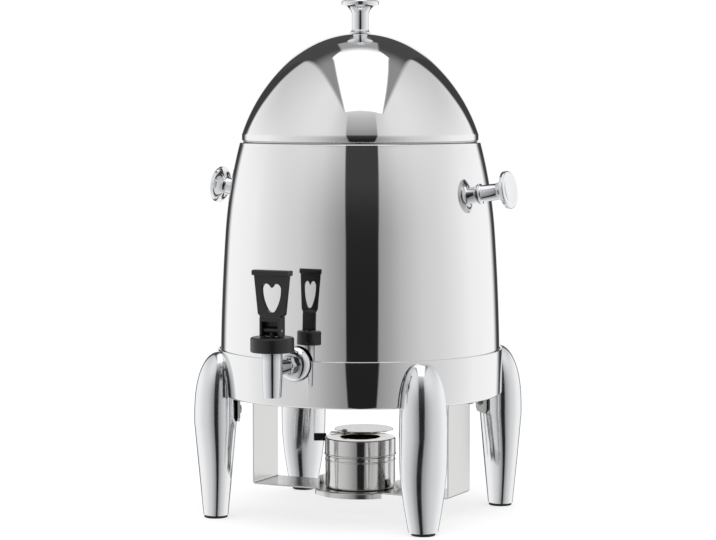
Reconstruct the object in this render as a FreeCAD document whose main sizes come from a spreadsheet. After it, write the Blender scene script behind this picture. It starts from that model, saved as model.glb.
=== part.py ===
import FreeCAD, Part
import math
import os
import types
import Sketcher

# Coffee urn on four cast legs: a polished vessel with a domed lid, a self-closing tap at the front (-Y),
# carrying knobs at the sides (+X and -X) and a fuel burner in a bracket under the vessel.
# Millimetres. The origin is on the table, under the vessel's axis; +Z is up.

V = FreeCAD.Vector
doc = FreeCAD.newDocument("coffee_urn")
sheet = doc.addObject("Spreadsheet::Sheet", "Sizes")

SIZES = {
    # Vessel
    "sheet_wall": 1.2,
    "foot_radius": 140.0,
    "waist_inset": 5.3,
    "waist_drop": 91.0,
    "mouth_inset": 19.8,
    "mouth_height": 371.0,
    "mouth_rim_width": 7.0,
    "rim_round": 1.2,
    "tank_floor_height": 146.0,
    "tank_floor_crown": 4.0,
    "tank_floor_corner": 6.0,
    "tank_floor_skirt": 8.0,
    "seat_gap": 0.3,
    "press_gap": 0.05,
    # Stand ring
    "ring_bottom": 121.0,
    "ring_tall": 45.0,
    "ring_wall": 1.8,
    "ring_ledge": 1.5,
    "ring_ledge_reach": 22.0,
    "ring_corner": 2.0,
    # Legs
    "leg_angle": 50.0,
    "leg_stand_off": 5.4,
    "leg_foot_half_width": 14.7,
    "leg_foot_half_depth": 12.3,
    "leg_half_width": 23.75,
    "leg_half_depth": 21.0,
    "leg_widest_height": 95.0,
    "leg_below_ring_top": 1.0,
    "leg_roundness": 2.6,
    "leg_gap": 0.1,
    "leg_flat_depth": 1.6,
    "pad_radius": 11.6,
    "pad_tall": 3.0,
    "pad_stem_radius": 4.0,
    "pad_stem": 7.0,
    "pad_round": 0.8,
    "tab_wide": 30.0,
    "tab_thick": 2.5,
    "tab_tall": 25.0,
    "tab_corner": 4.0,
    "leg_screw_radius": 2.5,
    "leg_screw_length": 16.0,
    "leg_screw_height": 107.0,
    "screw_head": 2.8,
    "screw_chamfer": 0.8,
    "washer_thick": 1.0,
    "washer_gap": 0.2,
    # Lid
    "lid_rise": 108.0,
    "lid_edge_lift": 1.8,
    "lid_edge_step": 2.2,
    "lid_band_tall": 5.7,
    "lid_crown_inset": 12.0,
    "lid_shoulder_drop": 29.0,
    "collar_clearance": 0.7,
    "collar_wall": 1.0,
    "collar_drop": 12.0,
    # Knobs
    "knob_length": 32.0,
    "knob_head_radius": 18.5,
    "knob_head_edge": 5.0,
    "knob_cone": 8.0,
    "knob_stem_radius": 8.2,
    "knob_base_radius": 10.0,
    "knob_base_flare": 4.0,
    "knob_dish": 1.2,
    "knob_dish_radius": 14.5,
    "knob_foot_lift": 0.05,
    "knob_foot_edge": 1.0,
    "knob_screw_radius": 2.5,
    "knob_screw_grip": 12.0,
    "knob_screw_head_radius": 4.6,
    "knob_seal_radius": 7.0,
    "knob_seal_thick": 1.5,
    "knob_seal_gap": 0.35,
    "side_knob_drop": 49.5,
    # Tap
    "tap_stand_off": 47.0,
    "shank_height": 163.0,
    "shank_radius": 8.0,
    "shank_hole_gap": 0.2,
    "shank_inside": 19.0,
    "shank_bore": 5.0,
    "hex_half_flats": 8.0,
    "hex_start": 24.0,
    "hex_length": 13.0,
    "spout_outlet_height": 136.0,
    "spout_radius": 8.5,
    "spout_bore": 5.5,
    "barrel_radius": 9.6,
    "chamber_radius": 7.2,
    "valve_seat_height": 156.0,
    "barrel_flange_radius": 15.0,
    "barrel_flange_height": 180.5,
    "barrel_flange_thick": 3.5,
    "escutcheon_radius": 17.0,
    "escutcheon_depth": 7.0,
    "escutcheon_front_radius": 10.5,
    "escutcheon_wall": 1.5,
    "tap_seal_radius": 14.0,
    "outer_seal_thick": 2.9,
    "inner_seal_reach": 5.5,
    "tap_washer_thick": 1.5,
    "tap_nut_flats": 24.0,
    "tap_nut_thick": 8.0,
    "bonnet_radius": 20.5,
    "bonnet_bottom": 179.0,
    "bonnet_top": 193.0,
    "bonnet_thread_gap": 0.2,
    "bonnet_round": 2.0,
    "bonnet_seal_thick": 1.8,
    "stem_radius": 2.5,
    "running_gap": 0.06,
    "cup_radius": 6.7,
    "cup_tall": 5.7,
    "cup_lip": 2.0,
    "spring_wire": 0.45,
    "spring_radius": 4.6,
    "spring_turns": 6.0,
    # Lever
    "pivot_height": 199.0,
    "pin_radius": 1.5,
    "pin_fit": 0.02,
    "crosshead_radius": 3.0,
    "crosshead_gap": 0.4,
    "handle_neck_half": 10.6,
    "handle_foot_half": 14.0,
    "handle_shoulder_half": 18.1,
    "handle_bar_half": 19.2,
    "handle_neck_top": 214.5,
    "handle_bar_bottom": 250.4,
    "handle_top": 255.4,
    "handle_bar_round": 1.5,
    "handle_neck_depth": 11.0,
    "handle_blade_depth": 5.0,
    "handle_bar_depth": 10.0,
    "handle_cheek": 2.2,
    "handle_back_wall": 2.0,
    "handle_window": 14.2,
    "heart_bottom": 215.8,
    "heart_top": 243.0,
    "heart_half_top": 10.5,
    "heart_half_bottom": 4.2,
    "heart_foot": 1.8,
    "heart_notch": 4.0,
    # Bracket
    "bracket_half_span": 108.0,
    "bracket_wide": 52.0,
    "bracket_sheet": 1.5,
    "bracket_floor": 24.7,
    "bracket_bend": 3.0,
    "bracket_flange_over": 16.0,
    "bracket_screw_over": 8.0,
    "bracket_screw_spread": 14.0,
    "bracket_screw_radius": 2.0,
    "bracket_screw_head": 3.8,
    "bracket_screw_head_tall": 2.4,
    "bracket_nut_half_flats": 3.5,
    "bracket_nut_thick": 3.2,
    "tray_margin": 11.0,
    "tray_skirt": 5.7,
    "tray_tab_margin": 6.5,
    "tray_tab_wide": 16.0,
    "tray_tab_tall": 9.0,
    # Burner
    "burner_radius": 35.0,
    "burner_wall": 1.0,
    "burner_cup_top": 57.5,
    "burner_bead_height": 53.0,
    "burner_bead": 0.9,
    "burner_corner": 2.0,
    "cover_top": 75.2,
    "cover_opening_inset": 15.0,
    "cover_lip": 6.0,
    "cover_lip_gap": 0.5,
    "cover_overhang": 0.6,
    "cover_corner": 1.5,
    "damper_inset": 5.0,
    "damper_thick": 1.2,
    "damper_hub_margin": 2.5,
    "damper_pivot_inset": 4.0,
    "damper_pivot_angle": 147.1,
    "damper_lever_turn": 25.0,
    "damper_disc_angle": 51.5,
    "damper_arm_wide": 6.0,
    "damper_arm_drop": 5.2,
    "damper_bend_start": 13.5,
    "damper_bend_end": 16.5,
    "damper_arm_reach": 30.0,
    "grip_length": 12.5,
    "grip_radius": 2.9,
    "rivet_radius": 1.5,
    "rivet_head_radius": 3.4,
    "rivet_head": 2.0,
    "rivet_head_edge": 0.6,
}

for row, (alias, number) in enumerate(SIZES.items(), start=1):
    sheet.set(f"A{row}", alias.replace("_", " "))
    sheet.set(f"B{row}", str(number))
    sheet.setAlias(f"B{row}", alias)
doc.recompute()


class Measure:
    """A length that carries the formula it comes from, so that a shape is drawn and bound from one line."""

    def __init__(self, text, value):
        self.text = text
        self.value = value

    def __add__(self, other):
        other = measure(other)
        return Measure(f"({self.text} + {other.text})", self.value + other.value)

    def __sub__(self, other):
        other = measure(other)
        return Measure(f"({self.text} - {other.text})", self.value - other.value)

    def __mul__(self, other):
        other = measure(other)
        return Measure(f"({self.text} * {other.text})", self.value * other.value)

    def __truediv__(self, other):
        other = measure(other)
        return Measure(f"({self.text} / {other.text})", self.value / other.value)

    def __pow__(self, other):
        other = measure(other)
        return Measure(f"({self.text} ^ {other.text})", self.value**other.value)

    def __radd__(self, other):
        return measure(other) + self

    def __rsub__(self, other):
        return measure(other) - self

    def __neg__(self):
        return Measure(f"(0 - {self.text})", -self.value)


def measure(number):
    """A Measure of a plain number, or the Measure itself."""
    if isinstance(number, Measure):
        return number
    return Measure(repr(float(number)), float(number))


def root(area):
    return Measure(f"sqrt({area.text})", math.sqrt(area.value))


def cosine(angle):
    return Measure(f"cos({angle.text})", math.cos(math.radians(angle.value)))


def sine(angle):
    return Measure(f"sin({angle.text})", math.sin(math.radians(angle.value)))


def arcsine(ratio):
    return Measure(f"(asin({ratio.text}) / 1deg)", math.degrees(math.asin(ratio.value)))


s = types.SimpleNamespace(
    **{alias: Measure(f"Sizes.{alias}", float(number)) for alias, number in SIZES.items()}
)
pieces = []

# An arc in an outline that runs counter-clockwise bulges out of the shape or hollows it.
OUT = 1
IN = -1


def piece(name):
    """A body that becomes one node, under its own name."""
    body = doc.addObject("PartDesign::Body", name)
    body.Label = name
    pieces.append(body)
    return body


def member(name):
    """A body that is one of the solids of a group."""
    body = doc.addObject("PartDesign::Body", name)
    return body


def group(name, members):
    """One node that holds several separate solids."""
    whole = doc.addObject("Part::Compound", name)
    whole.Links = members
    whole.Label = name
    pieces.append(whole)
    return whole


def bind(item, **formulas):
    """Tie properties to formulas; a double underscore in a name stands for the dot."""
    for key, formula in formulas.items():
        item.setExpression(key.replace("__", "."), measure(formula).text)
    return item


def place(item, x=0.0, y=0.0, z=0.0, axis=(0, 0, 1), angle=0.0):
    """Move and turn a piece: its place and angle are bound, its axis is fixed."""
    turned = FreeCAD.Rotation(V(*axis), max(measure(angle).value, 1e-9))
    item.Placement = FreeCAD.Placement(V(0, 0, 0), turned)
    bind(item, Placement__Base__x=x, Placement__Base__y=y, Placement__Base__z=z)
    if measure(angle).value:
        bind(item, Placement__Rotation__Angle=angle)
    return item


def fix(sketch, edge, end, x, y):
    """Hold one end of an edge at x, y from the origin."""
    for kind, distance, axis in (("DistanceX", x, -2), ("DistanceY", y, -1)):
        if abs(distance.value) < 1e-9:
            sketch.addConstraint(Sketcher.Constraint("PointOnObject", edge, end, axis))
            continue
        made = sketch.addConstraint(Sketcher.Constraint(kind, -1, 1, edge, end, distance.value))
        sketch.setExpression(f"Constraints[{made}]", distance.text)


def draw_outline(sketch, corners):
    """A closed loop through its corners: x, y, and for an arc after the corner its radius and side."""
    first = sketch.GeometryCount
    ends = []
    for index, corner in enumerate(corners):
        after = corners[(index + 1) % len(corners)]
        a = V(measure(corner[0]).value, measure(corner[1]).value, 0)
        b = V(measure(after[0]).value, measure(after[1]).value, 0)
        if len(corner) == 2:
            sketch.addGeometry(Part.LineSegment(a, b), False)
            ends.append((1, 2))
            continue
        radius = measure(corner[2]).value
        side = corner[3]
        along = (b - a).normalize()
        left = V(-along.y, along.x, 0)
        rise = math.sqrt(max(radius**2 - (b - a).Length ** 2 / 4, 0))
        centre = (a + b) * 0.5 + left * (side * rise)
        start, finish = (a, b) if side == OUT else (b, a)
        turn = [math.atan2(p.y - centre.y, p.x - centre.x) for p in (start, finish)]
        circle = Part.Circle(centre, V(0, 0, 1), radius)
        sketch.addGeometry(Part.ArcOfCircle(circle, turn[0], turn[1]), False)
        ends.append((1, 2) if side == OUT else (2, 1))
    for index, corner in enumerate(corners):
        edge = first + index
        following = first + (index + 1) % len(corners)
        start = ends[index][0]
        sketch.addConstraint(
            Sketcher.Constraint(
                "Coincident", edge, ends[index][1], following, ends[following - first][0]
            )
        )
        fix(sketch, edge, start, measure(corner[0]), measure(corner[1]))
        if len(corner) > 2:
            radius = measure(corner[2])
            made = sketch.addConstraint(Sketcher.Constraint("Radius", edge, radius.value))
            sketch.setExpression(f"Constraints[{made}]", radius.text)


def draw_circle(sketch, x, y, radius):
    """A full circle about x, y."""
    x, y, radius = measure(x), measure(y), measure(radius)
    centre = V(x.value, y.value, 0)
    edge = sketch.addGeometry(Part.Circle(centre, V(0, 0, 1), radius.value), False)
    fix(sketch, edge, 3, x, y)
    made = sketch.addConstraint(Sketcher.Constraint("Radius", edge, radius.value))
    sketch.setExpression(f"Constraints[{made}]", radius.text)


def new_sketch(body, name, plane, outlines=(), circles=(), offset=0.0):
    """A sketch on one of the body's own planes, moved along the plane's normal by the offset."""
    sketch = body.newObject("Sketcher::SketchObject", f"{body.Name}_{name}")
    own = [item for item in body.Origin.OriginFeatures if item.Role == plane][0]
    sketch.AttachmentSupport = (own, "")
    sketch.MapMode = "FlatFace"
    if measure(offset).value:
        bind(sketch, AttachmentOffset__Base__z=offset)
    for corners in outlines:
        draw_outline(sketch, corners)
    for circle in circles:
        draw_circle(sketch, *circle)
    return sketch


def revolve(body, corners, name="turned"):
    """Turn an outline of radius and height about the body's vertical axis."""
    sketch = new_sketch(body, f"{name}_profile", "XZ_Plane", [corners])
    turned = body.newObject("PartDesign::Revolution", f"{body.Name}_{name}")
    turned.Profile = sketch
    turned.ReferenceAxis = (sketch, ["V_Axis"])
    turned.Angle = 360
    return turned


def pad(body, name, plane, length, outlines=(), circles=(), offset=0.0, middle=False, flip=False):
    """Raise a solid from a sketch; with middle, half to each side."""
    sketch = new_sketch(body, f"{name}_sketch", plane, outlines, circles, offset)
    raised = body.newObject("PartDesign::Pad", f"{body.Name}_{name}")
    raised.Profile = sketch
    raised.Midplane = middle
    raised.Reversed = flip
    return bind(raised, Length=length)


def pocket(body, name, plane, length, outlines=(), circles=(), offset=0.0, middle=False, flip=False):
    """Cut a sketch into the solid, against the plane's normal unless flipped, and see that it cuts."""
    doc.recompute()
    before = body.Shape.Volume
    sketch = new_sketch(body, f"{name}_sketch", plane, outlines, circles, offset)
    sunk = body.newObject("PartDesign::Pocket", f"{body.Name}_{name}")
    sunk.Profile = sketch
    sunk.Midplane = middle
    sunk.Reversed = flip
    bind(sunk, Length=length)
    doc.recompute()
    if body.Shape.Volume >= before:
        raise RuntimeError(f"{sunk.Name} cuts nothing")
    return sunk


def ring_outline(inner, outer, bottom, top):
    """A plain washer's section."""
    return [(inner, bottom), (outer, bottom), (outer, top), (inner, top)]


# Vessel wall: one shell turned from two tangent arcs, with a rounded rim turned in at the mouth.
# The lower arc is upright at the foot; the upper one leaves it at the waist and ends at the mouth.
shell_foot = s.ring_bottom + s.ring_ledge
waist_radius = s.foot_radius - s.waist_inset
waist_height = s.mouth_height - s.waist_drop
mouth_radius = s.foot_radius - s.mouth_inset
lower_rise = waist_height - shell_foot
lower_inset = s.waist_inset
lower_arc = (lower_rise * lower_rise + lower_inset * lower_inset) / (lower_inset * 2)
waist_sine = lower_rise / lower_arc
waist_cosine = 1 - lower_inset / lower_arc
upper_rise = s.mouth_height - s.rim_round - waist_height
upper_inset = waist_radius - mouth_radius
upper_chord = root(upper_rise * upper_rise + upper_inset * upper_inset)
upper_turn = (upper_inset * waist_cosine - upper_rise * waist_sine) / upper_chord
upper_arc = upper_chord / (upper_turn * 2)
upper_centre_radius = waist_radius - upper_arc * waist_cosine
upper_centre_height = waist_height - upper_arc * waist_sine

body_shell = piece("body_shell")
rim_inner = mouth_radius - s.mouth_rim_width
revolve(
    body_shell,
    [
        (s.foot_radius, shell_foot, lower_arc, OUT),
        (waist_radius, waist_height, upper_arc, OUT),
        (mouth_radius, s.mouth_height - s.rim_round, s.rim_round, OUT),
        (mouth_radius - s.rim_round, s.mouth_height),
        (rim_inner, s.mouth_height),
        (rim_inner, s.mouth_height - s.sheet_wall),
        (mouth_radius - s.sheet_wall, s.mouth_height - s.sheet_wall, upper_arc, IN),
        (waist_radius - s.sheet_wall, waist_height, lower_arc, IN),
        (s.foot_radius - s.sheet_wall, shell_foot),
    ],
)
shank_hole = s.shank_radius + s.shank_hole_gap
pocket(
    body_shell,
    "shank_hole",
    "XZ_Plane",
    s.foot_radius * 1.2,
    circles=[(0, s.shank_height, shank_hole)],
    flip=True,
)
knob_hole = s.knob_screw_radius + s.seat_gap
side_knob_height = s.mouth_height - s.side_knob_drop
pocket(
    body_shell,
    "knob_holes",
    "YZ_Plane",
    s.foot_radius * 2.4,
    circles=[(0, side_knob_height, knob_hole)],
    middle=True,
)

# Tank floor: a pressed pan, crowned so that it drains to the wall, with its skirt welded inside the shell.
tank_base = piece("tank_base")
floor_radius = s.foot_radius - s.sheet_wall - s.seat_gap - 0.1
floor_flat = floor_radius - s.tank_floor_corner
floor_arc = (floor_flat * floor_flat + s.tank_floor_crown * s.tank_floor_crown) / (
    s.tank_floor_crown * 2
)
floor_low = s.tank_floor_height - s.tank_floor_corner
revolve(
    tank_base,
    [
        (0, s.tank_floor_height + s.tank_floor_crown - s.sheet_wall),
        (0, s.tank_floor_height + s.tank_floor_crown, floor_arc, IN),
        (floor_flat, s.tank_floor_height, s.tank_floor_corner, IN),
        (floor_radius, floor_low),
        (floor_radius, floor_low - s.tank_floor_skirt),
        (floor_radius - s.sheet_wall, floor_low - s.tank_floor_skirt),
        (floor_radius - s.sheet_wall, floor_low, s.tank_floor_corner - s.sheet_wall, OUT),
        (floor_flat, s.tank_floor_height - s.sheet_wall, floor_arc, OUT),
    ],
)

# Stand ring: a band round the vessel's foot with an inward ledge. A notch in its top edge lets the tap's
# seal lie on the vessel's wall, and four holes in the ledge take the bracket's screws.
ring_inner = s.foot_radius + s.seat_gap
ring_outer = ring_inner + s.ring_wall
ledge_radius = s.foot_radius - s.ring_ledge_reach
ring_top = s.ring_bottom + s.ring_tall
notch = s.tap_seal_radius + s.washer_gap + s.seat_gap
stand_ring = piece("stand_ring")
revolve(
    stand_ring,
    [
        (ledge_radius, s.ring_bottom),
        (ring_outer - s.ring_corner, s.ring_bottom, s.ring_corner, OUT),
        (ring_outer, s.ring_bottom + s.ring_corner),
        (ring_outer, ring_top),
        (ring_inner, ring_top),
        (ring_inner, shell_foot),
        (ledge_radius, shell_foot),
    ],
)
pocket(
    stand_ring,
    "tap_notch",
    "XZ_Plane",
    ring_outer * 1.2,
    outlines=[
        [
            (-notch, s.shank_height, notch, OUT),
            (0, s.shank_height - notch, notch, OUT),
            (notch, s.shank_height),
            (notch, ring_top + 5),
            (-notch, ring_top + 5),
        ]
    ],
    flip=True,
)
bracket_hole = s.bracket_screw_radius + s.washer_gap
screw_reach = ledge_radius + s.bracket_screw_over
pocket(
    stand_ring,
    "bracket_holes",
    "XY_Plane",
    shell_foot * 1.1,
    circles=[
        (screw_reach * sign, s.bracket_screw_spread * side, bracket_hole)
        for sign in (1, -1)
        for side in (1, -1)
    ],
    flip=True,
)

# Legs: cast, bullet-topped, with an oval section. Each is notched round the ring, so that the ring stands
# on a shelf in the leg, and has a flat where the ring's tab is screwed to it from inside.
# The half width follows a sine up to most of the widest height, the half depth grows evenly up to it, and
# both close in a rounded arch above it.
leg_centre = ring_outer + s.leg_stand_off
leg_top = ring_top - s.leg_below_ring_top
leg_flat = leg_centre - s.leg_half_depth + s.leg_flat_depth
tab_face = leg_flat - s.leg_gap
leg_angles = {
    "front_right": s.leg_angle - 90,
    "rear_right": 90 - s.leg_angle,
    "rear_left": s.leg_angle + 90,
    "front_left": 270 - s.leg_angle,
}
FULL_WIDTH_SHARE = 0.78
BELOW_WIDEST = [step / 9 for step in range(10)]
ABOVE_WIDEST = (0.15, 0.3, 0.45, 0.6, 0.72, 0.82, 0.9, 0.95, 0.985)


def leg_section(name, share, above):
    """One oval of the leg: half width along the ring, half depth away from the urn."""
    oval = doc.addObject("Part::Ellipse", name)
    if above:
        arch = (1 - measure(share) ** s.leg_roundness) ** (measure(1) / s.leg_roundness)
        half_width = s.leg_half_width * arch
        half_depth = s.leg_half_depth * arch
        centre = leg_centre - s.leg_stand_off * share**3
        height = s.leg_widest_height + (leg_top - s.leg_widest_height) * share
    else:
        swell = math.sin(math.radians(min(90.0, 90 * share / FULL_WIDTH_SHARE)))
        half_width = s.leg_foot_half_width + (s.leg_half_width - s.leg_foot_half_width) * swell
        half_depth = s.leg_foot_half_depth + (s.leg_half_depth - s.leg_foot_half_depth) * share
        centre = leg_centre
        height = s.pad_tall + (s.leg_widest_height - s.pad_tall) * share
    bind(oval, MajorRadius=half_width, MinorRadius=half_depth)
    return place(oval, x=centre, z=height, angle=90)


def cylinder(name, radius, height, **where):
    """A round tool or solid."""
    made = doc.addObject("Part::Cylinder", name)
    bind(made, Radius=radius, Height=height)
    return place(made, **where)


def block(name, length, width, height, **where):
    """A square tool or solid."""
    made = doc.addObject("Part::Box", name)
    bind(made, Length=length, Width=width, Height=height)
    return place(made, **where)


def make_leg(name, angle):
    """A leg along +X, then turned to its place round the urn."""
    sections = [leg_section(f"{name}_low_{i}", share, False) for i, share in enumerate(BELOW_WIDEST)]
    sections += [leg_section(f"{name}_high_{i}", share, True) for i, share in enumerate(ABOVE_WIDEST)]
    casting = doc.addObject("Part::Loft", f"{name}_casting")
    casting.Sections = sections
    casting.Solid = True
    ring_space = cylinder(f"{name}_ring_space", ring_outer + s.leg_gap, s.ring_tall * 2, z=s.ring_bottom)
    tab_space = block(
        f"{name}_tab_space",
        leg_flat,
        s.leg_half_width * 4,
        s.tab_tall + s.seat_gap,
        y=s.leg_half_width * -2,
        z=s.ring_bottom - s.tab_tall - s.seat_gap,
    )
    screw_hole = cylinder(
        f"{name}_screw_hole",
        s.leg_screw_radius + s.press_gap,
        s.leg_screw_length + 1,
        x=leg_flat - 1,
        z=s.leg_screw_height,
        axis=(0, 1, 0),
        angle=90,
    )
    pad_hole = cylinder(
        f"{name}_pad_hole", s.pad_stem_radius + s.press_gap, s.pad_stem + 1, x=leg_centre, z=s.pad_tall - 0.5
    )
    tools = doc.addObject("Part::MultiFuse", f"{name}_tools")
    tools.Shapes = [ring_space, tab_space, screw_hole, pad_hole]
    leg = doc.addObject("Part::Cut", name)
    leg.Base = casting
    leg.Tool = tools
    leg.Label = name
    bind(leg, Placement__Rotation__Angle=angle)
    pieces.append(leg)
    return leg


for side, angle in leg_angles.items():
    make_leg(f"leg_{side}", angle)


def around(angle, reach, height, item, **turn):
    """Put a piece at an angle and a distance from the urn's axis."""
    return place(item, x=reach * cosine(angle), y=reach * sine(angle), z=height, **turn)


# Rubber foot pads, each with a stem pressed into its leg.
def make_pad(name, angle):
    pad_body = member(name)
    revolve(
        pad_body,
        [
            (0, 0),
            (s.pad_radius - s.pad_round, 0, s.pad_round, OUT),
            (s.pad_radius, s.pad_round),
            (s.pad_radius, s.pad_tall),
            (s.pad_stem_radius, s.pad_tall),
            (s.pad_stem_radius, s.pad_tall + s.pad_stem),
            (0, s.pad_tall + s.pad_stem),
        ],
    )
    return around(angle, leg_centre, 0, pad_body)


group("foot_pads", [make_pad(f"foot_pad_{k}", a) for k, a in leg_angles.items()])


# Tabs welded upright under the ledge; each lies on the flat of its leg and takes one screw.
def make_tab(name, angle):
    tab = member(name)
    half = s.tab_wide / 2
    bottom = s.ring_bottom - s.tab_tall
    pad(
        tab,
        "plate",
        "YZ_Plane",
        s.tab_thick,
        outlines=[
            [
                (-half, bottom + s.tab_corner),
                (s.tab_corner - half, bottom),
                (half - s.tab_corner, bottom),
                (half, bottom + s.tab_corner),
                (half, s.ring_bottom),
                (-half, s.ring_bottom),
            ]
        ],
        circles=[(0, s.leg_screw_height, s.leg_screw_radius + s.seat_gap)],
        offset=tab_face - s.tab_thick,
    )
    return bind(tab, Placement__Rotation__Angle=angle)


group("leg_tabs", [make_tab(f"leg_tab_{k}", a) for k, a in leg_angles.items()])


def screw_outline(radius, length, head_radius, head_height):
    """Half a pan-head screw: its shank points up from the head's underside at height zero."""
    return [
        (0, -head_height),
        (head_radius - head_height * 0.5, -head_height, head_height * 0.5, OUT),
        (head_radius, head_height * -0.5),
        (head_radius, 0),
        (radius, 0),
        (radius, length - s.screw_chamfer),
        (radius - s.screw_chamfer, length),
        (0, length),
    ]


def leg_fastener(name, angle, corners, start):
    """A turned piece that lies along the leg's screw axis, pointing away from the urn."""
    turned = member(name)
    revolve(turned, corners)
    doc.recompute()
    tilt = FreeCAD.Rotation(V(0, 1, 0), 90)
    turned.Placement = FreeCAD.Placement(V(0, 0, 0), FreeCAD.Rotation(V(0, 0, 1), angle.value) * tilt)
    return bind(
        turned,
        Placement__Base__x=start * cosine(angle),
        Placement__Base__y=start * sine(angle),
        Placement__Base__z=s.leg_screw_height,
    )


tab_back = tab_face - s.tab_thick
leg_washer = ring_outline(
    s.leg_screw_radius + s.washer_gap, s.leg_screw_radius * 2, measure(0), s.washer_thick
)
leg_screw = screw_outline(
    s.leg_screw_radius, s.leg_screw_length, s.leg_screw_radius * 1.8, s.screw_head
)
fastener_start = tab_back - s.washer_thick
group(
    "leg_washers",
    [leg_fastener(f"leg_washer_{k}", a, leg_washer, fastener_start) for k, a in leg_angles.items()],
)
group(
    "leg_screws",
    [leg_fastener(f"leg_screw_{k}", a, leg_screw, fastener_start) for k, a in leg_angles.items()],
)

# Lid dome: one shell turned from a round crown and a flatter shoulder that leaves it tangent, with a short
# upright band at its edge and a hole for the knob's screw.
lid_top = s.mouth_height + s.lid_rise
lid_edge = s.mouth_height + s.lid_edge_lift
lid_radius = mouth_radius - s.lid_edge_step
band_top = lid_edge + s.lid_band_tall
crown_arc = lid_radius - s.lid_crown_inset
shoulder_height = lid_top - s.lid_shoulder_drop
crown_cosine = 1 - s.lid_shoulder_drop / crown_arc
crown_sine = root(1 - crown_cosine * crown_cosine)
shoulder_radius = crown_arc * crown_sine
shoulder_run = lid_radius - shoulder_radius
shoulder_fall = shoulder_height - band_top
shoulder_off = shoulder_fall * crown_cosine - shoulder_run * crown_sine
shoulder_arc = (shoulder_run * shoulder_run + shoulder_fall * shoulder_fall) / (shoulder_off * 2)
crown_inner = crown_arc - s.sheet_wall
shoulder_inner_radius = shoulder_radius - s.sheet_wall * crown_sine
shoulder_inner_height = shoulder_height - s.sheet_wall * crown_cosine
lid_inside = lid_radius - s.sheet_wall
shoulder_centre_radius = shoulder_radius - shoulder_arc * crown_sine
shoulder_centre_height = shoulder_height - shoulder_arc * crown_cosine
shoulder_inner = shoulder_arc - s.sheet_wall
inside_run = lid_inside - shoulder_centre_radius
band_inner_top = shoulder_centre_height + root(shoulder_inner * shoulder_inner - inside_run * inside_run)

lid_dome = piece("lid_dome")
revolve(
    lid_dome,
    [
        (lid_inside, lid_edge),
        (lid_radius, lid_edge),
        (lid_radius, band_top, shoulder_arc, OUT),
        (shoulder_radius, shoulder_height, crown_arc, OUT),
        (0, lid_top),
        (0, lid_top - s.sheet_wall, crown_inner, IN),
        (shoulder_inner_radius, shoulder_inner_height, shoulder_inner, IN),
        (lid_inside, band_inner_top),
    ],
)
pocket(
    lid_dome,
    "knob_hole",
    "XY_Plane",
    s.lid_shoulder_drop,
    circles=[(0, 0, knob_hole)],
    offset=lid_top + 1,
)

# Lid collar: a flange welded inside the dome's edge and a short tube that drops into the mouth.
collar_outer = rim_inner - s.collar_clearance
flange_bottom = s.mouth_height + s.seat_gap
flange_top = flange_bottom + s.collar_wall
flange_outer = lid_inside - s.press_gap
flange_edge = lid_edge + s.collar_wall
lid_collar = piece("lid_collar")
revolve(
    lid_collar,
    [
        (collar_outer - s.collar_wall, flange_bottom - s.collar_drop),
        (collar_outer, flange_bottom - s.collar_drop),
        (collar_outer, flange_bottom),
        (flange_outer, flange_bottom),
        (flange_outer, flange_edge),
        (flange_outer - s.collar_wall, flange_edge),
        (flange_outer - s.collar_wall, flange_top),
        (collar_outer - s.collar_wall, flange_top),
    ],
)


# Knobs: turned and polished, a waisted stem with a flared foot and a dished head. The lid's knob and the
# two side knobs are the same part. Each is held from inside by a screw, a washer and a seal.
def make_knob(name):
    knob = piece(name)
    head_bottom = s.knob_length - s.knob_head_edge
    cone_bottom = head_bottom - s.knob_cone
    edge_round = s.knob_head_edge * 0.35
    flare_run = s.knob_base_radius - s.knob_stem_radius
    flare_rise = s.knob_base_flare - s.knob_foot_edge
    flare_radius = (flare_run**2 + flare_rise**2) / (flare_run * 2)
    cone_run = s.knob_head_radius - s.knob_stem_radius
    cone_radius = (cone_run**2 + s.knob_cone**2) / (s.knob_cone * 2) * 1.15
    dish_radius = (s.knob_dish_radius**2 + s.knob_dish**2) / (s.knob_dish * 2)
    foot = s.knob_foot_lift
    bore = s.knob_screw_radius + s.press_gap
    revolve(
        knob,
        [
            (0, s.knob_screw_grip + 1),
            (bore, s.knob_screw_grip + 1),
            (bore, foot),
            (s.knob_base_radius, foot),
            (s.knob_base_radius, foot + s.knob_foot_edge, flare_radius, IN),
            (s.knob_stem_radius, foot + s.knob_base_flare),
            (s.knob_stem_radius, cone_bottom, cone_radius, IN),
            (s.knob_head_radius, head_bottom + edge_round * 0.5),
            (s.knob_head_radius, s.knob_length - edge_round, edge_round, OUT),
            (s.knob_head_radius - edge_round, s.knob_length),
            (s.knob_dish_radius, s.knob_length, dish_radius, IN),
            (0, s.knob_length - s.knob_dish),
        ],
    )
    return knob


seal_bottom = -(s.sheet_wall + s.knob_seal_gap + s.knob_seal_thick)
washer_bottom = seal_bottom - s.washer_thick
knob_screw_length = s.knob_screw_grip - washer_bottom
washer_hole = s.knob_screw_radius + s.washer_gap
knob_seal = ring_outline(washer_hole, s.knob_seal_radius, seal_bottom, seal_bottom + s.knob_seal_thick)
knob_washer = ring_outline(washer_hole, s.knob_seal_radius - 0.5, washer_bottom, seal_bottom)
knob_screw = [
    (corner[0], washer_bottom + corner[1], *corner[2:])
    for corner in screw_outline(
        s.knob_screw_radius, knob_screw_length, s.knob_screw_head_radius, s.screw_head
    )
]

place(make_knob("lid_knob"), z=lid_top)
for name, corners in (
    ("lid_knob_washer", knob_washer),
    ("lid_knob_screw", knob_screw),
    ("lid_knob_seal", knob_seal),
):
    lid_part = piece(name)
    revolve(lid_part, corners)
    place(lid_part, z=lid_top)

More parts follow.
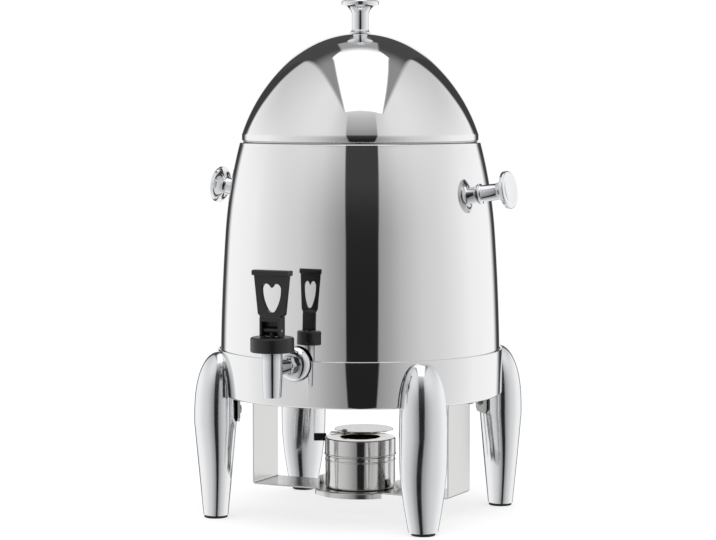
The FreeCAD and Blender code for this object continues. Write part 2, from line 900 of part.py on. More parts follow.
# The side knobs stand square to the wall, which leans in at their height.
knob_lean = side_knob_height - upper_centre_height
knob_wall_radius = upper_centre_radius + root(upper_arc * upper_arc - knob_lean * knob_lean)
knob_tilt = 90 - arcsine(knob_lean / upper_arc)


def beside(item, sign):
    """Seat a piece of a side knob on the wall at +X or -X."""
    return place(item, x=knob_wall_radius * sign, z=side_knob_height, axis=(0, sign, 0), angle=knob_tilt)


def knob_part(name, corners, sign):
    """One of a side knob's seal, washer and screw."""
    turned = member(name)
    revolve(turned, corners)
    return beside(turned, sign)


beside(make_knob("side_knob_right"), 1)
beside(make_knob("side_knob_left"), -1)
for name, corners in (
    ("side_knob_seals", knob_seal),
    ("side_knob_washers", knob_washer),
    ("side_knob_screws", knob_screw),
):
    group(name, [knob_part(f"{name}_{i}", corners, sign) for i, sign in enumerate((1, -1))])

# Tap body: one casting. The upright barrel is the spout below and the valve chamber above; the shank runs
# back through the wall, with a hexagon for the spanner. Heights are from the table, depths from the barrel.
tap_body = piece("tap_body")
tap_reach = s.foot_radius + s.tap_stand_off
outer_seal_face = s.foot_radius + s.outer_seal_thick
inner_seal_face = s.foot_radius - s.inner_seal_reach
barrel_top = s.barrel_flange_height + s.barrel_flange_thick
revolve(
    tap_body,
    [
        (0, s.spout_outlet_height),
        (s.spout_radius, s.spout_outlet_height),
        (s.barrel_radius, s.valve_seat_height),
        (s.barrel_radius, s.barrel_flange_height),
        (s.barrel_flange_radius, s.barrel_flange_height),
        (s.barrel_flange_radius, barrel_top),
        (0, barrel_top),
    ],
)
shank_length = tap_reach - s.foot_radius + s.shank_inside
pad(
    tap_body,
    "shank",
    "XZ_Plane",
    shank_length,
    circles=[(0, s.shank_height, s.shank_radius)],
    flip=True,
)


def hexagon(half_flats, x, y):
    """The corners of a hexagon with two flats upright."""
    half = half_flats / math.cos(math.radians(30))
    return [
        (x + half_flats, y - half / 2),
        (x + half_flats, y + half / 2),
        (x, y + half),
        (x - half_flats, y + half / 2),
        (x - half_flats, y - half / 2),
        (x, y - half),
    ]


pad(
    tap_body,
    "spanner_hexagon",
    "XZ_Plane",
    s.hex_length,
    outlines=[hexagon(s.hex_half_flats, measure(0), s.shank_height)],
    offset=-s.hex_start,
    flip=True,
)
pocket(
    tap_body,
    "outlet_bore",
    "XY_Plane",
    s.valve_seat_height * 1.1,
    circles=[(0, 0, s.spout_bore)],
    flip=True,
)
pocket(
    tap_body,
    "valve_chamber",
    "XY_Plane",
    barrel_top - s.valve_seat_height,
    circles=[(0, 0, s.chamber_radius)],
    offset=barrel_top,
)
pocket(
    tap_body,
    "shank_bore",
    "XZ_Plane",
    shank_length + 1,
    circles=[(0, s.shank_height, s.shank_bore)],
)
place(tap_body, y=-tap_reach)


def on_shank(item, reach):
    """Lay a piece turned about its own Z along the shank, towards the front."""
    return place(item, y=-reach, z=s.shank_height, axis=(1, 0, 0), angle=90)


escutcheon = piece("tap_escutcheon")
dome_rise = s.escutcheon_depth - 1
dome_run = s.escutcheon_radius - s.escutcheon_front_radius
dome_round = (dome_rise**2 + dome_run**2) ** 0.5
revolve(
    escutcheon,
    [
        (shank_hole, s.escutcheon_depth - s.escutcheon_wall),
        (
            s.escutcheon_front_radius - s.escutcheon_wall * 0.5,
            s.escutcheon_depth - s.escutcheon_wall,
            dome_round,
            IN,
        ),
        (s.escutcheon_radius - s.escutcheon_wall, 0),
        (s.escutcheon_radius, 0),
        (s.escutcheon_radius, 1, dome_round, OUT),
        (s.escutcheon_front_radius, s.escutcheon_depth),
        (shank_hole, s.escutcheon_depth),
    ],
)
on_shank(escutcheon, outer_seal_face)


def seal_ring(name, inner, outer, start, finish):
    """A rubber ring round the shank between two distances from the urn's axis."""
    seal = doc.addObject("Part::Cut", name)
    seal.Base = cylinder(f"{name}_disc", outer, finish - start)
    seal.Tool = cylinder(f"{name}_bore", inner, finish - start)
    return on_shank(seal, start)


def wall_cylinder(name, radius):
    """The vessel's round wall as a tool, at the height of the shank."""
    return cylinder(name, radius, s.tap_seal_radius * 4, z=s.shank_height - s.tap_seal_radius * 2)


tap_outer_seal = doc.addObject("Part::Cut", "tap_outer_seal")
tap_outer_seal.Base = seal_ring(
    "outer_seal_ring", shank_hole, s.tap_seal_radius, inner_seal_face, outer_seal_face
)
tap_outer_seal.Tool = wall_cylinder("wall_outside", s.foot_radius + s.press_gap)
tap_outer_seal.Label = "tap_outer_seal"
pieces.append(tap_outer_seal)

tap_inner_seal = doc.addObject("Part::Common", "tap_inner_seal")
tap_inner_seal.Base = seal_ring(
    "inner_seal_ring", shank_hole, s.tap_seal_radius, inner_seal_face, s.foot_radius
)
shank_rise = s.shank_height + s.tap_seal_radius - shell_foot
wall_lean = shank_rise * shank_rise / (lower_arc * 2)
tap_inner_seal.Tool = wall_cylinder("wall_inside", s.foot_radius - s.sheet_wall - wall_lean - s.press_gap)
tap_inner_seal.Label = "tap_inner_seal"
pieces.append(tap_inner_seal)

tap_washer = piece("tap_washer")
revolve(tap_washer, ring_outline(shank_hole, s.tap_seal_radius, 0, s.tap_washer_thick))
on_shank(tap_washer, inner_seal_face - s.tap_washer_thick)

tap_nut = piece("tap_nut")
nut_back = inner_seal_face - s.tap_washer_thick - s.tap_nut_thick
pad(
    tap_nut,
    "hexagon",
    "XY_Plane",
    s.tap_nut_thick,
    outlines=[hexagon(s.tap_nut_flats / 2, measure(0), measure(0))],
    circles=[(0, 0, s.shank_radius + s.press_gap)],
)
on_shank(tap_nut, nut_back)

# Bonnet: black cap screwed over the barrel's flange; it holds the seal down and carries the lever's foot.
seal_top = barrel_top + s.bonnet_seal_thick
tap_bonnet = piece("tap_bonnet")
thread_radius = s.barrel_flange_radius + s.bonnet_thread_gap
stem_hole = s.stem_radius + s.running_gap
revolve(
    tap_bonnet,
    [
        (thread_radius, s.bonnet_bottom),
        (s.bonnet_radius - s.bonnet_round * 0.5, s.bonnet_bottom, s.bonnet_round * 0.5, OUT),
        (s.bonnet_radius, s.bonnet_bottom + s.bonnet_round * 0.5),
        (s.bonnet_radius, s.bonnet_top - s.bonnet_round, s.bonnet_round, OUT),
        (s.bonnet_radius - s.bonnet_round, s.bonnet_top),
        (stem_hole, s.bonnet_top),
        (stem_hole, seal_top),
        (thread_radius, seal_top),
    ],
)
place(tap_bonnet, y=-tap_reach)

bonnet_seal = piece("bonnet_seal")
revolve(
    bonnet_seal,
    ring_outline(s.stem_radius + s.seat_gap, s.barrel_flange_radius - 0.2, barrel_top, seal_top),
)
place(bonnet_seal, y=-tap_reach)

# Valve: a soft cup that closes the spout, on a steel stem with a crosshead for the lever's pin.
cup_bottom = s.valve_seat_height + s.seat_gap
cup_top = cup_bottom + s.cup_tall
seat_cup = piece("seat_cup")
revolve(
    seat_cup,
    [
        (0, cup_bottom),
        (s.cup_radius, cup_bottom),
        (s.cup_radius, cup_bottom + s.cup_lip),
        (s.cup_radius - 0.8, cup_top),
        (s.stem_radius + s.press_gap, cup_top),
        (s.stem_radius + s.press_gap, cup_bottom + s.cup_lip),
        (0, cup_bottom + s.cup_lip),
    ],
)
place(seat_cup, y=-tap_reach)

valve_stem = piece("valve_stem")
neck_inner = s.handle_neck_half - s.handle_cheek
crosshead_half = neck_inner - s.crosshead_gap
revolve(
    valve_stem,
    [
        (0, cup_bottom + s.cup_lip),
        (s.stem_radius, cup_bottom + s.cup_lip),
        (s.stem_radius, s.pivot_height),
        (0, s.pivot_height),
    ],
)
pad(
    valve_stem,
    "crosshead",
    "YZ_Plane",
    crosshead_half * 2,
    circles=[(0, s.pivot_height, s.crosshead_radius)],
    middle=True,
)
pocket(
    valve_stem,
    "pin_bore",
    "YZ_Plane",
    crosshead_half * 3,
    circles=[(0, s.pivot_height, s.pin_radius + s.running_gap)],
    middle=True,
)
place(valve_stem, y=-tap_reach)

# Valve spring: a helix of steel wire between the cup and the seal.
spring_bottom = cup_top + s.spring_wire + 0.3
spring_rise = barrel_top - cup_top - s.spring_wire * 2 - 0.6
spring_path = doc.addObject("Part::Helix", "spring_path")
bind(spring_path, Radius=s.spring_radius, Height=spring_rise, Pitch=spring_rise / s.spring_turns)
wire_section = doc.addObject("Part::Circle", "wire_section")
bind(wire_section, Radius=s.spring_wire)
place(wire_section, x=s.spring_radius, axis=(1, 0, 0), angle=90)
tap_spring = doc.addObject("Part::Sweep", "tap_spring")
tap_spring.Sections = [wire_section]
tap_spring.Spine = spring_path
tap_spring.Solid = True
tap_spring.Frenet = True
tap_spring.Label = "tap_spring"
place(tap_spring, y=-tap_reach, z=spring_bottom)
pieces.append(tap_spring)

# Lever: moulded in one, with two cheeks and a back wall round the crosshead, a thin blade that widens
# upwards, a bar along its top and a heart-shaped hole. Its foot rocks on the bonnet when it is tipped.
tap_handle = piece("tap_handle")
handle_bottom = s.bonnet_top + s.seat_gap
half_neck_depth = s.handle_neck_depth / 2
blade_foot = s.handle_neck_top - (s.handle_foot_half - s.handle_neck_half)
pad(
    tap_handle,
    "blade",
    "XZ_Plane",
    s.handle_blade_depth,
    outlines=[
        [
            (-s.handle_neck_half, s.pivot_height),
            (s.handle_neck_half, s.pivot_height),
            (s.handle_neck_half, blade_foot),
            (s.handle_foot_half, s.handle_neck_top),
            (s.handle_shoulder_half, s.handle_bar_bottom + 1),
            (-s.handle_shoulder_half, s.handle_bar_bottom + 1),
            (-s.handle_foot_half, s.handle_neck_top),
            (-s.handle_neck_half, blade_foot),
        ]
    ],
    middle=True,
)
neck_slope = (s.handle_neck_depth - s.handle_blade_depth) / 2
pad(
    tap_handle,
    "neck",
    "YZ_Plane",
    s.handle_neck_half * 2,
    outlines=[
        [
            (-half_neck_depth, handle_bottom + 1),
            (1 - half_neck_depth, handle_bottom),
            (half_neck_depth - 1, handle_bottom),
            (half_neck_depth, handle_bottom + 1),
            (half_neck_depth, s.handle_neck_top - neck_slope),
            (half_neck_depth - neck_slope, s.handle_neck_top),
            (neck_slope - half_neck_depth, s.handle_neck_top),
            (-half_neck_depth, s.handle_neck_top - neck_slope),
        ]
    ],
    middle=True,
)
half_bar_depth = s.handle_bar_depth / 2
bar_round = s.handle_bar_round
pad(
    tap_handle,
    "top_bar",
    "YZ_Plane",
    s.handle_bar_half * 2,
    outlines=[
        [
            (bar_round - half_bar_depth, s.handle_bar_bottom),
            (half_bar_depth - bar_round, s.handle_bar_bottom, bar_round, OUT),
            (half_bar_depth, s.handle_bar_bottom + bar_round),
            (half_bar_depth, s.handle_top - bar_round, bar_round, OUT),
            (half_bar_depth - bar_round, s.handle_top),
            (bar_round - half_bar_depth, s.handle_top, bar_round, OUT),
            (-half_bar_depth, s.handle_top - bar_round),
            (-half_bar_depth, s.handle_bar_bottom + bar_round, bar_round, OUT),
        ]
    ],
    middle=True,
)
window_top = handle_bottom + s.handle_window
window_depth = s.handle_neck_depth - s.handle_back_wall
pocket(
    tap_handle,
    "stem_window",
    "XZ_Plane",
    window_depth * 2,
    outlines=[
        [
            (-neck_inner, handle_bottom - 5),
            (neck_inner, handle_bottom - 5),
            (neck_inner, window_top),
            (-neck_inner, window_top),
        ]
    ],
    offset=half_neck_depth + window_depth,
)
lobe = s.heart_half_top / 2
lobe_height = s.heart_top - lobe
heart_foot_height = s.heart_bottom + s.heart_foot
heart_foot_arc = (s.heart_half_bottom**2 + s.heart_foot**2) / (s.heart_foot * 2)
heart_run = s.heart_half_top - s.heart_half_bottom
heart_side = (heart_run**2 + (lobe_height - heart_foot_height) ** 2) / (heart_run * 2)
pocket(
    tap_handle,
    "heart",
    "XZ_Plane",
    s.handle_neck_depth * 2,
    outlines=[
        [
            (-s.heart_half_bottom, heart_foot_height, heart_foot_arc, OUT),
            (s.heart_half_bottom, heart_foot_height, heart_side, OUT),
            (s.heart_half_top, lobe_height, lobe, OUT),
            (lobe, s.heart_top, lobe * 1.25, OUT),
            (0, s.heart_top - s.heart_notch, lobe * 1.25, OUT),
            (-lobe, s.heart_top, lobe, OUT),
            (-s.heart_half_top, lobe_height, heart_side, OUT),
        ]
    ],
    middle=True,
)
pocket(
    tap_handle,
    "pin_holes",
    "YZ_Plane",
    s.handle_neck_half * 3,
    circles=[(0, s.pivot_height, s.pin_radius + s.pin_fit)],
    middle=True,
)
place(tap_handle, y=-tap_reach)

tap_pin = piece("tap_pin")
pad(
    tap_pin,
    "pin",
    "YZ_Plane",
    s.handle_neck_half * 2 - 0.6,
    circles=[(0, s.pivot_height, s.pin_radius)],
    middle=True,
)
place(tap_pin, y=-tap_reach)

# Burner bracket: one strip bent to a U, screwed up under the ledge, with a round tray stamped in its floor.
# The tray's free edges are turned down, and two tabs on it keep the burner in the middle.
burner_bracket = piece("burner_bracket")
thick = s.bracket_sheet
bend = s.bracket_bend
flange_reach = ledge_radius + s.bracket_flange_over
tray_radius = s.burner_radius + s.tray_margin
tray_tab = s.burner_radius + s.tray_tab_margin
outside = s.bracket_half_span + thick / 2
inside = s.bracket_half_span - thick / 2
floor_under = s.bracket_floor - thick
flange_under = s.ring_bottom - thick
right_outside = [
    (outside - bend, floor_under, bend, OUT),
    (outside, floor_under + bend),
    (outside, flange_under - bend, bend, IN),
    (outside + bend, flange_under),
    (flange_reach, flange_under),
    (flange_reach, s.ring_bottom),
]
left_outside = [
    (-flange_reach, s.ring_bottom),
    (-flange_reach, flange_under),
    (-(outside + bend), flange_under, bend, IN),
    (-outside, flange_under - bend),
    (-outside, floor_under + bend, bend, OUT),
    (bend - outside, floor_under),
]
left_inside = [
    (bend - outside, s.bracket_floor, bend - thick, IN),
    (-inside, floor_under + bend),
    (-inside, flange_under - bend, bend + thick, OUT),
    (-(inside + bend + thick), s.ring_bottom),
]
right_inside = [
    (inside + bend + thick, s.ring_bottom, bend + thick, OUT),
    (inside, flange_under - bend),
    (inside, floor_under + bend, bend - thick, IN),
    (outside - bend, s.bracket_floor),
]
tray_round = thick * 1.2
skirt_bottom = s.bracket_floor - s.tray_skirt
revolve(
    burner_bracket,
    [
        (0, floor_under),
        (tray_radius - thick, floor_under),
        (tray_radius - thick, skirt_bottom),
        (tray_radius, skirt_bottom),
        (tray_radius, s.bracket_floor - tray_round, tray_round, OUT),
        (tray_radius - tray_round, s.bracket_floor),
        (0, s.bracket_floor),
    ],
    "tray",
)
half_gap = s.bracket_wide / 2 + thick
pocket(
    burner_bracket,
    "skirt_gap",
    "XY_Plane",
    floor_under - skirt_bottom + 1,
    outlines=[
        [
            (-s.bracket_half_span, -half_gap),
            (s.bracket_half_span, -half_gap),
            (s.bracket_half_span, half_gap),
            (-s.bracket_half_span, half_gap),
        ]
    ],
    offset=floor_under,
)
pad(
    burner_bracket,
    "strip",
    "XZ_Plane",
    s.bracket_wide,
    outlines=[right_outside + right_inside + left_inside + left_outside],
    middle=True,
)
half_tab = s.tray_tab_wide / 2
pad(
    burner_bracket,
    "tray_tabs",
    "XY_Plane",
    s.tray_tab_tall + 0.5,
    outlines=[
        [
            (tray_tab, -half_tab),
            (tray_tab + thick, -half_tab),
            (tray_tab + thick, half_tab),
            (tray_tab, half_tab),
        ],
        [
            (-tray_tab - thick, -half_tab),
            (-tray_tab, -half_tab),
            (-tray_tab, half_tab),
            (-tray_tab - thick, half_tab),
        ],
    ],
    offset=s.bracket_floor - 0.5,
)
pocket(
    burner_bracket,
    "screw_holes",
    "XY_Plane",
    thick * 4,
    circles=[
        (screw_reach * sign, s.bracket_screw_spread * side, bracket_hole)
        for sign in (1, -1)
        for side in (1, -1)
    ],
    offset=s.ring_bottom + thick,
)

# Screws from below through flange and ledge, with nuts above the ledge.
nut_thick = s.bracket_nut_thick
bracket_screw = screw_outline(
    s.bracket_screw_radius,
    thick + s.ring_ledge + nut_thick + 1,
    s.bracket_screw_head,
    s.bracket_screw_head_tall,
)
bracket_screws = []
bracket_nuts = []
for sign in (1, -1):
    for side in (1, -1):
        corner = f"{'right' if sign > 0 else 'left'}_{'rear' if side > 0 else 'front'}"
        where = {"x": screw_reach * sign, "y": s.bracket_screw_spread * side}
        screw = member(f"bracket_screw_{corner}")
        revolve(screw, bracket_screw)
        bracket_screws.append(place(screw, z=flange_under, **where))
        nut = member(f"bracket_nut_{corner}")
        pad(
            nut,
            "hexagon",
            "XY_Plane",
            nut_thick,
            outlines=[hexagon(s.bracket_nut_half_flats, measure(0), measure(0))],
            circles=[(0, 0, s.bracket_screw_radius + s.press_gap)],
        )
        bracket_nuts.append(place(nut, z=shell_foot, **where))
group("bracket_screws", bracket_screws)
group("bracket_nuts", bracket_nuts)

# Burner cup: a spun cup for the fuel, with a bead below its rim.
burner_cup = piece("burner_cup")
cup_floor = s.bracket_floor + s.seat_gap
burner_inner = s.burner_radius - s.burner_wall
bead_arc = s.burner_bead * 1.15
revolve(
    burner_cup,
    [
        (0, cup_floor),
        (s.burner_radius - s.burner_corner, cup_floor, s.burner_corner, OUT),
        (s.burner_radius, cup_floor + s.burner_corner),
        (s.burner_radius, s.burner_bead_height - s.burner_bead, bead_arc, OUT),
        (s.burner_radius, s.burner_bead_height + s.burner_bead),
        (s.burner_radius, s.burner_cup_top),
        (burner_inner, s.burner_cup_top),
        (burner_inner, cup_floor + s.burner_wall),
        (0, cup_floor + s.burner_wall),
    ],
)

# Burner cover: a cap that sits on the cup's rim, with an inner lip, a rolled lower edge and the opening
# for the flame.
burner_cover = piece("burner_cover")
cover_bottom = s.burner_cup_top + s.seat_gap
cover_outer = s.burner_radius + s.cover_overhang
cover_wall = cover_outer - s.burner_wall
lip_outer = burner_inner - s.cover_lip_gap
opening = s.burner_radius - s.cover_opening_inset
revolve(
    burner_cover,
    [
        (lip_outer - s.burner_wall, cover_bottom - s.cover_lip),
        (lip_outer, cover_bottom - s.cover_lip),
        (lip_outer, cover_bottom),
        (cover_outer, cover_bottom, bead_arc, OUT),
        (cover_outer, cover_bottom + s.burner_bead * 2),
        (cover_outer, s.cover_top - s.cover_corner, s.cover_corner, OUT),
        (cover_outer - s.cover_corner, s.cover_top),
        (opening, s.cover_top),
        (opening, s.cover_top - s.burner_wall),
        (cover_outer - s.cover_corner, s.cover_top - s.burner_wall),
        (cover_wall, s.cover_top - s.cover_corner),
        (cover_wall, cover_bottom + s.burner_wall),
        (lip_outer - s.burner_wall, cover_bottom + s.burner_wall),
    ],
)
pivot_reach = s.burner_radius - s.damper_pivot_inset
pivot_x = pivot_reach * cosine(s.damper_pivot_angle)
pivot_y = pivot_reach * sine(s.damper_pivot_angle)
rivet_hole = s.rivet_radius + s.running_gap
pocket(
    burner_cover,
    "rivet_hole",
    "XY_Plane",
    s.cover_top - s.burner_cup_top,
    circles=[(pivot_x, pivot_y, s.rivet_radius + s.press_gap)],
    offset=s.cover_top + 1,
)

# Damper: a disc that swings over the opening on a rivet near the cover's rim, with a lever bent down past
# the rim. It is drawn with the rivet at the origin and the lever along -X, and stands open.
disc_bottom = s.cover_top + s.seat_gap
disc_top = disc_bottom + s.damper_thick
damper_disc = piece("damper_disc")
pad(
    damper_disc,
    "disc",
    "XY_Plane",
    s.damper_thick,
    circles=[
        (
            pivot_reach * cosine(s.damper_disc_angle),
            pivot_reach * sine(s.damper_disc_angle),
            s.burner_radius - s.damper_inset,
        )
    ],
    offset=disc_bottom,
)
half_arm = s.damper_arm_wide / 2
pad(
    damper_disc,
    "hub",
    "XY_Plane",
    s.damper_thick,
    circles=[(0, 0, half_arm + s.damper_hub_margin)],
    offset=disc_bottom,
)
drop = s.damper_arm_drop
pad(
    damper_disc,
    "arm",
    "XZ_Plane",
    s.damper_arm_wide,
    outlines=[
        [
            (0, disc_bottom),
            (0, disc_top),
            (-s.damper_bend_start, disc_top),
            (-s.damper_bend_end, disc_top - drop),
            (-s.damper_arm_reach, disc_top - drop),
            (-s.damper_arm_reach, disc_bottom - drop),
            (-s.damper_bend_end, disc_bottom - drop),
            (-s.damper_bend_start, disc_bottom),
        ]
    ],
    middle=True,
)
pocket(
    damper_disc,
    "rivet_hole",
    "XY_Plane",
    s.damper_thick * 4,
    circles=[(0, 0, rivet_hole)],
    offset=disc_top + s.damper_thick,
)
place(damper_disc, x=pivot_x, y=pivot_y, angle=s.damper_lever_turn)

damper_rivet = piece("damper_rivet")
head_under = disc_top + s.seat_gap
rivet_foot = s.cover_top - s.burner_wall - 1
dome_height = s.rivet_head - s.rivet_head_edge
rivet_dome = (s.rivet_head_radius**2 + dome_height**2) / (dome_height * 2)
revolve(
    damper_rivet,
    [
        (0, rivet_foot),
        (s.rivet_radius, rivet_foot),
        (s.rivet_radius, head_under),
        (s.rivet_head_radius, head_under),
        (s.rivet_head_radius, head_under + s.rivet_head_edge, rivet_dome, OUT),
        (0, head_under + s.rivet_head),
    ],
)
place(damper_rivet, x=pivot_x, y=pivot_y)

# Grip: a black sleeve pushed over the end of the damper's arm.
damper_grip = piece("damper_grip")
grip_start = s.damper_arm_reach + 1 - s.grip_length
grip_height = disc_bottom - drop + s.damper_thick / 2
slot_half = half_arm + s.press_gap
slot_rise = s.damper_thick / 2 + s.press_gap
pad(
    damper_grip,
    "sleeve",
    "YZ_Plane",
    s.grip_length,
    circles=[(0, grip_height, s.grip_radius + 1)],
    offset=-(s.damper_arm_reach + 1),
)
pocket(
    damper_grip,
    "arm_slot",
    "YZ_Plane",
    s.grip_length - 1,
    outlines=[
        [
            (-slot_half, grip_height - slot_rise),
            (slot_half, grip_height - slot_rise),
            (slot_half, grip_height + slot_rise),
            (-slot_half, grip_height + slot_rise),
        ]
    ],
    offset=-grip_start,
)
place(damper_grip, x=pivot_x, y=pivot_y, angle=s.damper_lever_turn)

# Every object is sound before anything is written.
doc.recompute()
for item in doc.Objects:
    if "Invalid" in item.State or "Error" in item.State:
        raise RuntimeError(f"{item.Name} failed: {item.State}")
for item in pieces:
    if item.Shape.isNull() or not item.Shape.isValid() or not item.Shape.Solids:
        raise RuntimeError(f"{item.Label} has no sound shape")

os.makedirs("parts", exist_ok=True)
for item in pieces:
    item.Shape.exportStep(f"parts/{item.Label}.step")
    print(item.Label, len(item.Shape.Solids), round(item.Shape.Volume, 1))
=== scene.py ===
import math

import bmesh
import bpy
import numpy as np
from mathutils import Matrix, Vector


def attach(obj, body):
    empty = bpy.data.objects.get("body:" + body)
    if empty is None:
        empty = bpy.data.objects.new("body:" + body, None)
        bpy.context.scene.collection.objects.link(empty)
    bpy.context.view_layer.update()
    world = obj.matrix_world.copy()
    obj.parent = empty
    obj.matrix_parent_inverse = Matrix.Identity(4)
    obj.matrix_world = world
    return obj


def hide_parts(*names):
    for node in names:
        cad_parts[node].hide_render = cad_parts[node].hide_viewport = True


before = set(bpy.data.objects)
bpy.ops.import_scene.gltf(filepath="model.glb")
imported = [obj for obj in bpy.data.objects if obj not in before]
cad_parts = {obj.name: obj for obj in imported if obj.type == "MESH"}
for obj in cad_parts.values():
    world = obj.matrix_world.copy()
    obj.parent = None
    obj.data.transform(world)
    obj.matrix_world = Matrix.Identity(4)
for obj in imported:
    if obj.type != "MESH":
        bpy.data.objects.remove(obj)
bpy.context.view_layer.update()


# Studio: a white cove with pale walls that end below the ceiling, one square softbox overhead and the dark
# gap that the camera looks through. The polished steel shows all of it, so it is what gives the urn its form.
scene = bpy.context.scene
scene.view_settings.view_transform = "Standard"

camera_turn = math.radians(26)
toward_camera = np.array([math.sin(camera_turn), -math.cos(camera_turn), 0.0])
camera_right = np.array([math.cos(camera_turn), math.sin(camera_turn), 0.0])
camera_place = toward_camera * 2.4 + np.array([0, 0, 0.423])
camera_aim = camera_right * -0.0022 + np.array([0, 0, 0.243])

lens = bpy.data.cameras.new("photo_camera")
lens.lens = 121.0
lens.sensor_width = 36.0
camera = bpy.data.objects.new("photo_camera", lens)
scene.collection.objects.link(camera)
camera.location = camera_place
camera.rotation_mode = "QUATERNION"
camera.rotation_quaternion = Vector(camera_aim - camera_place).to_track_quat("-Z", "Y")
scene.camera = camera


def add_node(tree, kind, settings=None, links=None):
    """Adds one node. A setting names an attribute, or an input by its number or name. A link feeds an
    input from another node's output."""
    made = tree.nodes.new(kind)
    for key, value in (settings or {}).items():
        if isinstance(key, str) and hasattr(made, key):
            setattr(made, key, value)
        else:
            made.inputs[key].default_value = value
    for key, source in (links or {}).items():
        tree.links.new(source, made.inputs[key])
    return made


def shape_ramp(ramp, stops):
    """Sets a colour ramp to grey levels: each stop is a position and a linear brightness."""
    elements = ramp.color_ramp.elements
    while len(elements) < len(stops):
        elements.new(1.0)
    for element, (position, level) in zip(elements, stops):
        element.position = position
        element.color = (level, level, level, 1.0)
    return ramp


world = bpy.data.worlds.new("white_cove")
scene.world = world
world.use_nodes = True
sky = world.node_tree
sky.nodes.clear()
way = add_node(sky, "ShaderNodeTexCoord").outputs["Generated"]
sideways = add_node(
    sky, "ShaderNodeVectorMath", {"operation": "DOT_PRODUCT", 1: camera_right}, {0: way}
).outputs["Value"]
forward = add_node(
    sky, "ShaderNodeVectorMath", {"operation": "DOT_PRODUCT", 1: toward_camera}, {0: way}
).outputs["Value"]
height = add_node(sky, "ShaderNodeSeparateXYZ", links={0: way}).outputs["Z"]
bearing = add_node(sky, "ShaderNodeMath", {"operation": "ARCTAN2"}, {0: sideways, 1: forward}).outputs[0]
bearing_size = add_node(sky, "ShaderNodeMath", {"operation": "ABSOLUTE"}, {0: bearing}).outputs[0]
half_turns = add_node(
    sky, "ShaderNodeMath", {"operation": "DIVIDE", 1: math.pi}, {0: bearing_size}
).outputs[0]
rise = add_node(sky, "ShaderNodeMath", {"operation": "ARCSINE"}, {0: height}).outputs[0]
quarter_turns = add_node(
    sky, "ShaderNodeMath", {"operation": "DIVIDE", 1: math.pi / 2}, {0: rise}
).outputs[0]

# Walls: grey next to the gap and whiter towards the back; higher up they are evenly pale.
low_wall = shape_ramp(
    add_node(sky, "ShaderNodeValToRGB", links={0: half_turns}),
    [
        (0.07, 0.33),
        (0.14, 0.46),
        (0.19, 0.58),
        (0.29, 0.75),
        (0.38, 0.82),
        (0.49, 0.95),
        (0.57, 1.06),
        (0.69, 1.1),
    ],
)
high_wall = shape_ramp(
    add_node(sky, "ShaderNodeValToRGB", links={0: half_turns}),
    [(0.1, 0.73), (0.2, 0.91), (0.33, 0.93), (0.5, 0.84), (0.6, 0.78), (0.78, 0.68)],
)
wall_share = add_node(
    sky,
    "ShaderNodeMapRange",
    {"interpolation_type": "SMOOTHSTEP", "From Min": 0.05, "From Max": 0.42},
    {"Value": quarter_turns},
).outputs["Result"]
walls = add_node(
    sky,
    "ShaderNodeMix",
    {"data_type": "RGBA"},
    {0: wall_share, 6: low_wall.outputs[0], 7: high_wall.outputs[0]}
).outputs[2]

# Gap round the camera: nearly black at eye level, a little wider upwards and pale high up.
gap_level = shape_ramp(
    add_node(sky, "ShaderNodeValToRGB", links={0: quarter_turns}),
    [
        (0.0, 0.018),
        (0.12, 0.031),
        (0.2, 0.054),
        (0.3, 0.055),
        (0.39, 0.30),
        (0.46, 0.47),
        (0.52, 0.58),
        (0.58, 0.76),
    ],
)
gap_centre = add_node(
    sky, "ShaderNodeMath", {"operation": "SUBTRACT", 1: math.radians(1.6)}, {0: bearing}
).outputs[0]
gap_distance = add_node(sky, "ShaderNodeMath", {"operation": "ABSOLUTE"}, {0: gap_centre}).outputs[0]
gap_half = add_node(
    sky, "ShaderNodeMath", {"operation": "MULTIPLY_ADD", 1: 0.1, 2: math.radians(13.1)}, {0: rise}
).outputs[0]
gap_edge = add_node(
    sky, "ShaderNodeMath", {"operation": "SUBTRACT"}, {0: gap_distance, 1: gap_half}
).outputs[0]
gap_share = add_node(
    sky,
    "ShaderNodeMapRange",
    {"From Min": -0.008, "From Max": 0.012, "To Min": 1.0, "To Max": 0.0},
    {"Value": gap_edge}
).outputs["Result"]
front = add_node(
    sky, "ShaderNodeMix", {"data_type": "RGBA"}, {0: gap_share, 6: walls, 7: gap_level.outputs[0]}
).outputs[2]

# Behind the object the cove is in shade, over a wider angle higher up.
back_widening = add_node(
    sky, "ShaderNodeMapRange", {"From Min": 0.02, "From Max": 0.24, "To Min": 0.0, "To Max": 0.037},
    {"Value": quarter_turns},
).outputs["Result"]
back_turns = add_node(
    sky, "ShaderNodeMath", {"operation": "ADD"}, {0: half_turns, 1: back_widening}
).outputs[0]
# Its edge is soft at eye level and sharper higher up.
back_starts = add_node(
    sky, "ShaderNodeMapRange", {"From Min": 0.04, "From Max": 0.14, "To Min": 0.785, "To Max": 0.812},
    {"Value": quarter_turns},
).outputs["Result"]
back_full = add_node(
    sky, "ShaderNodeMapRange", {"From Min": 0.04, "From Max": 0.14, "To Min": 0.86, "To Max": 0.837},
    {"Value": quarter_turns},
).outputs["Result"]
back_share = add_node(
    sky, "ShaderNodeMapRange", {"interpolation_type": "SMOOTHSTEP"},
    {"Value": back_turns, "From Min": back_starts, "From Max": back_full},
).outputs["Result"]
level_round = add_node(
    sky, "ShaderNodeMix", {"data_type": "RGBA", 7: (0.055, 0.055, 0.058, 1)}, {0: back_share, 6: front}
).outputs[2]
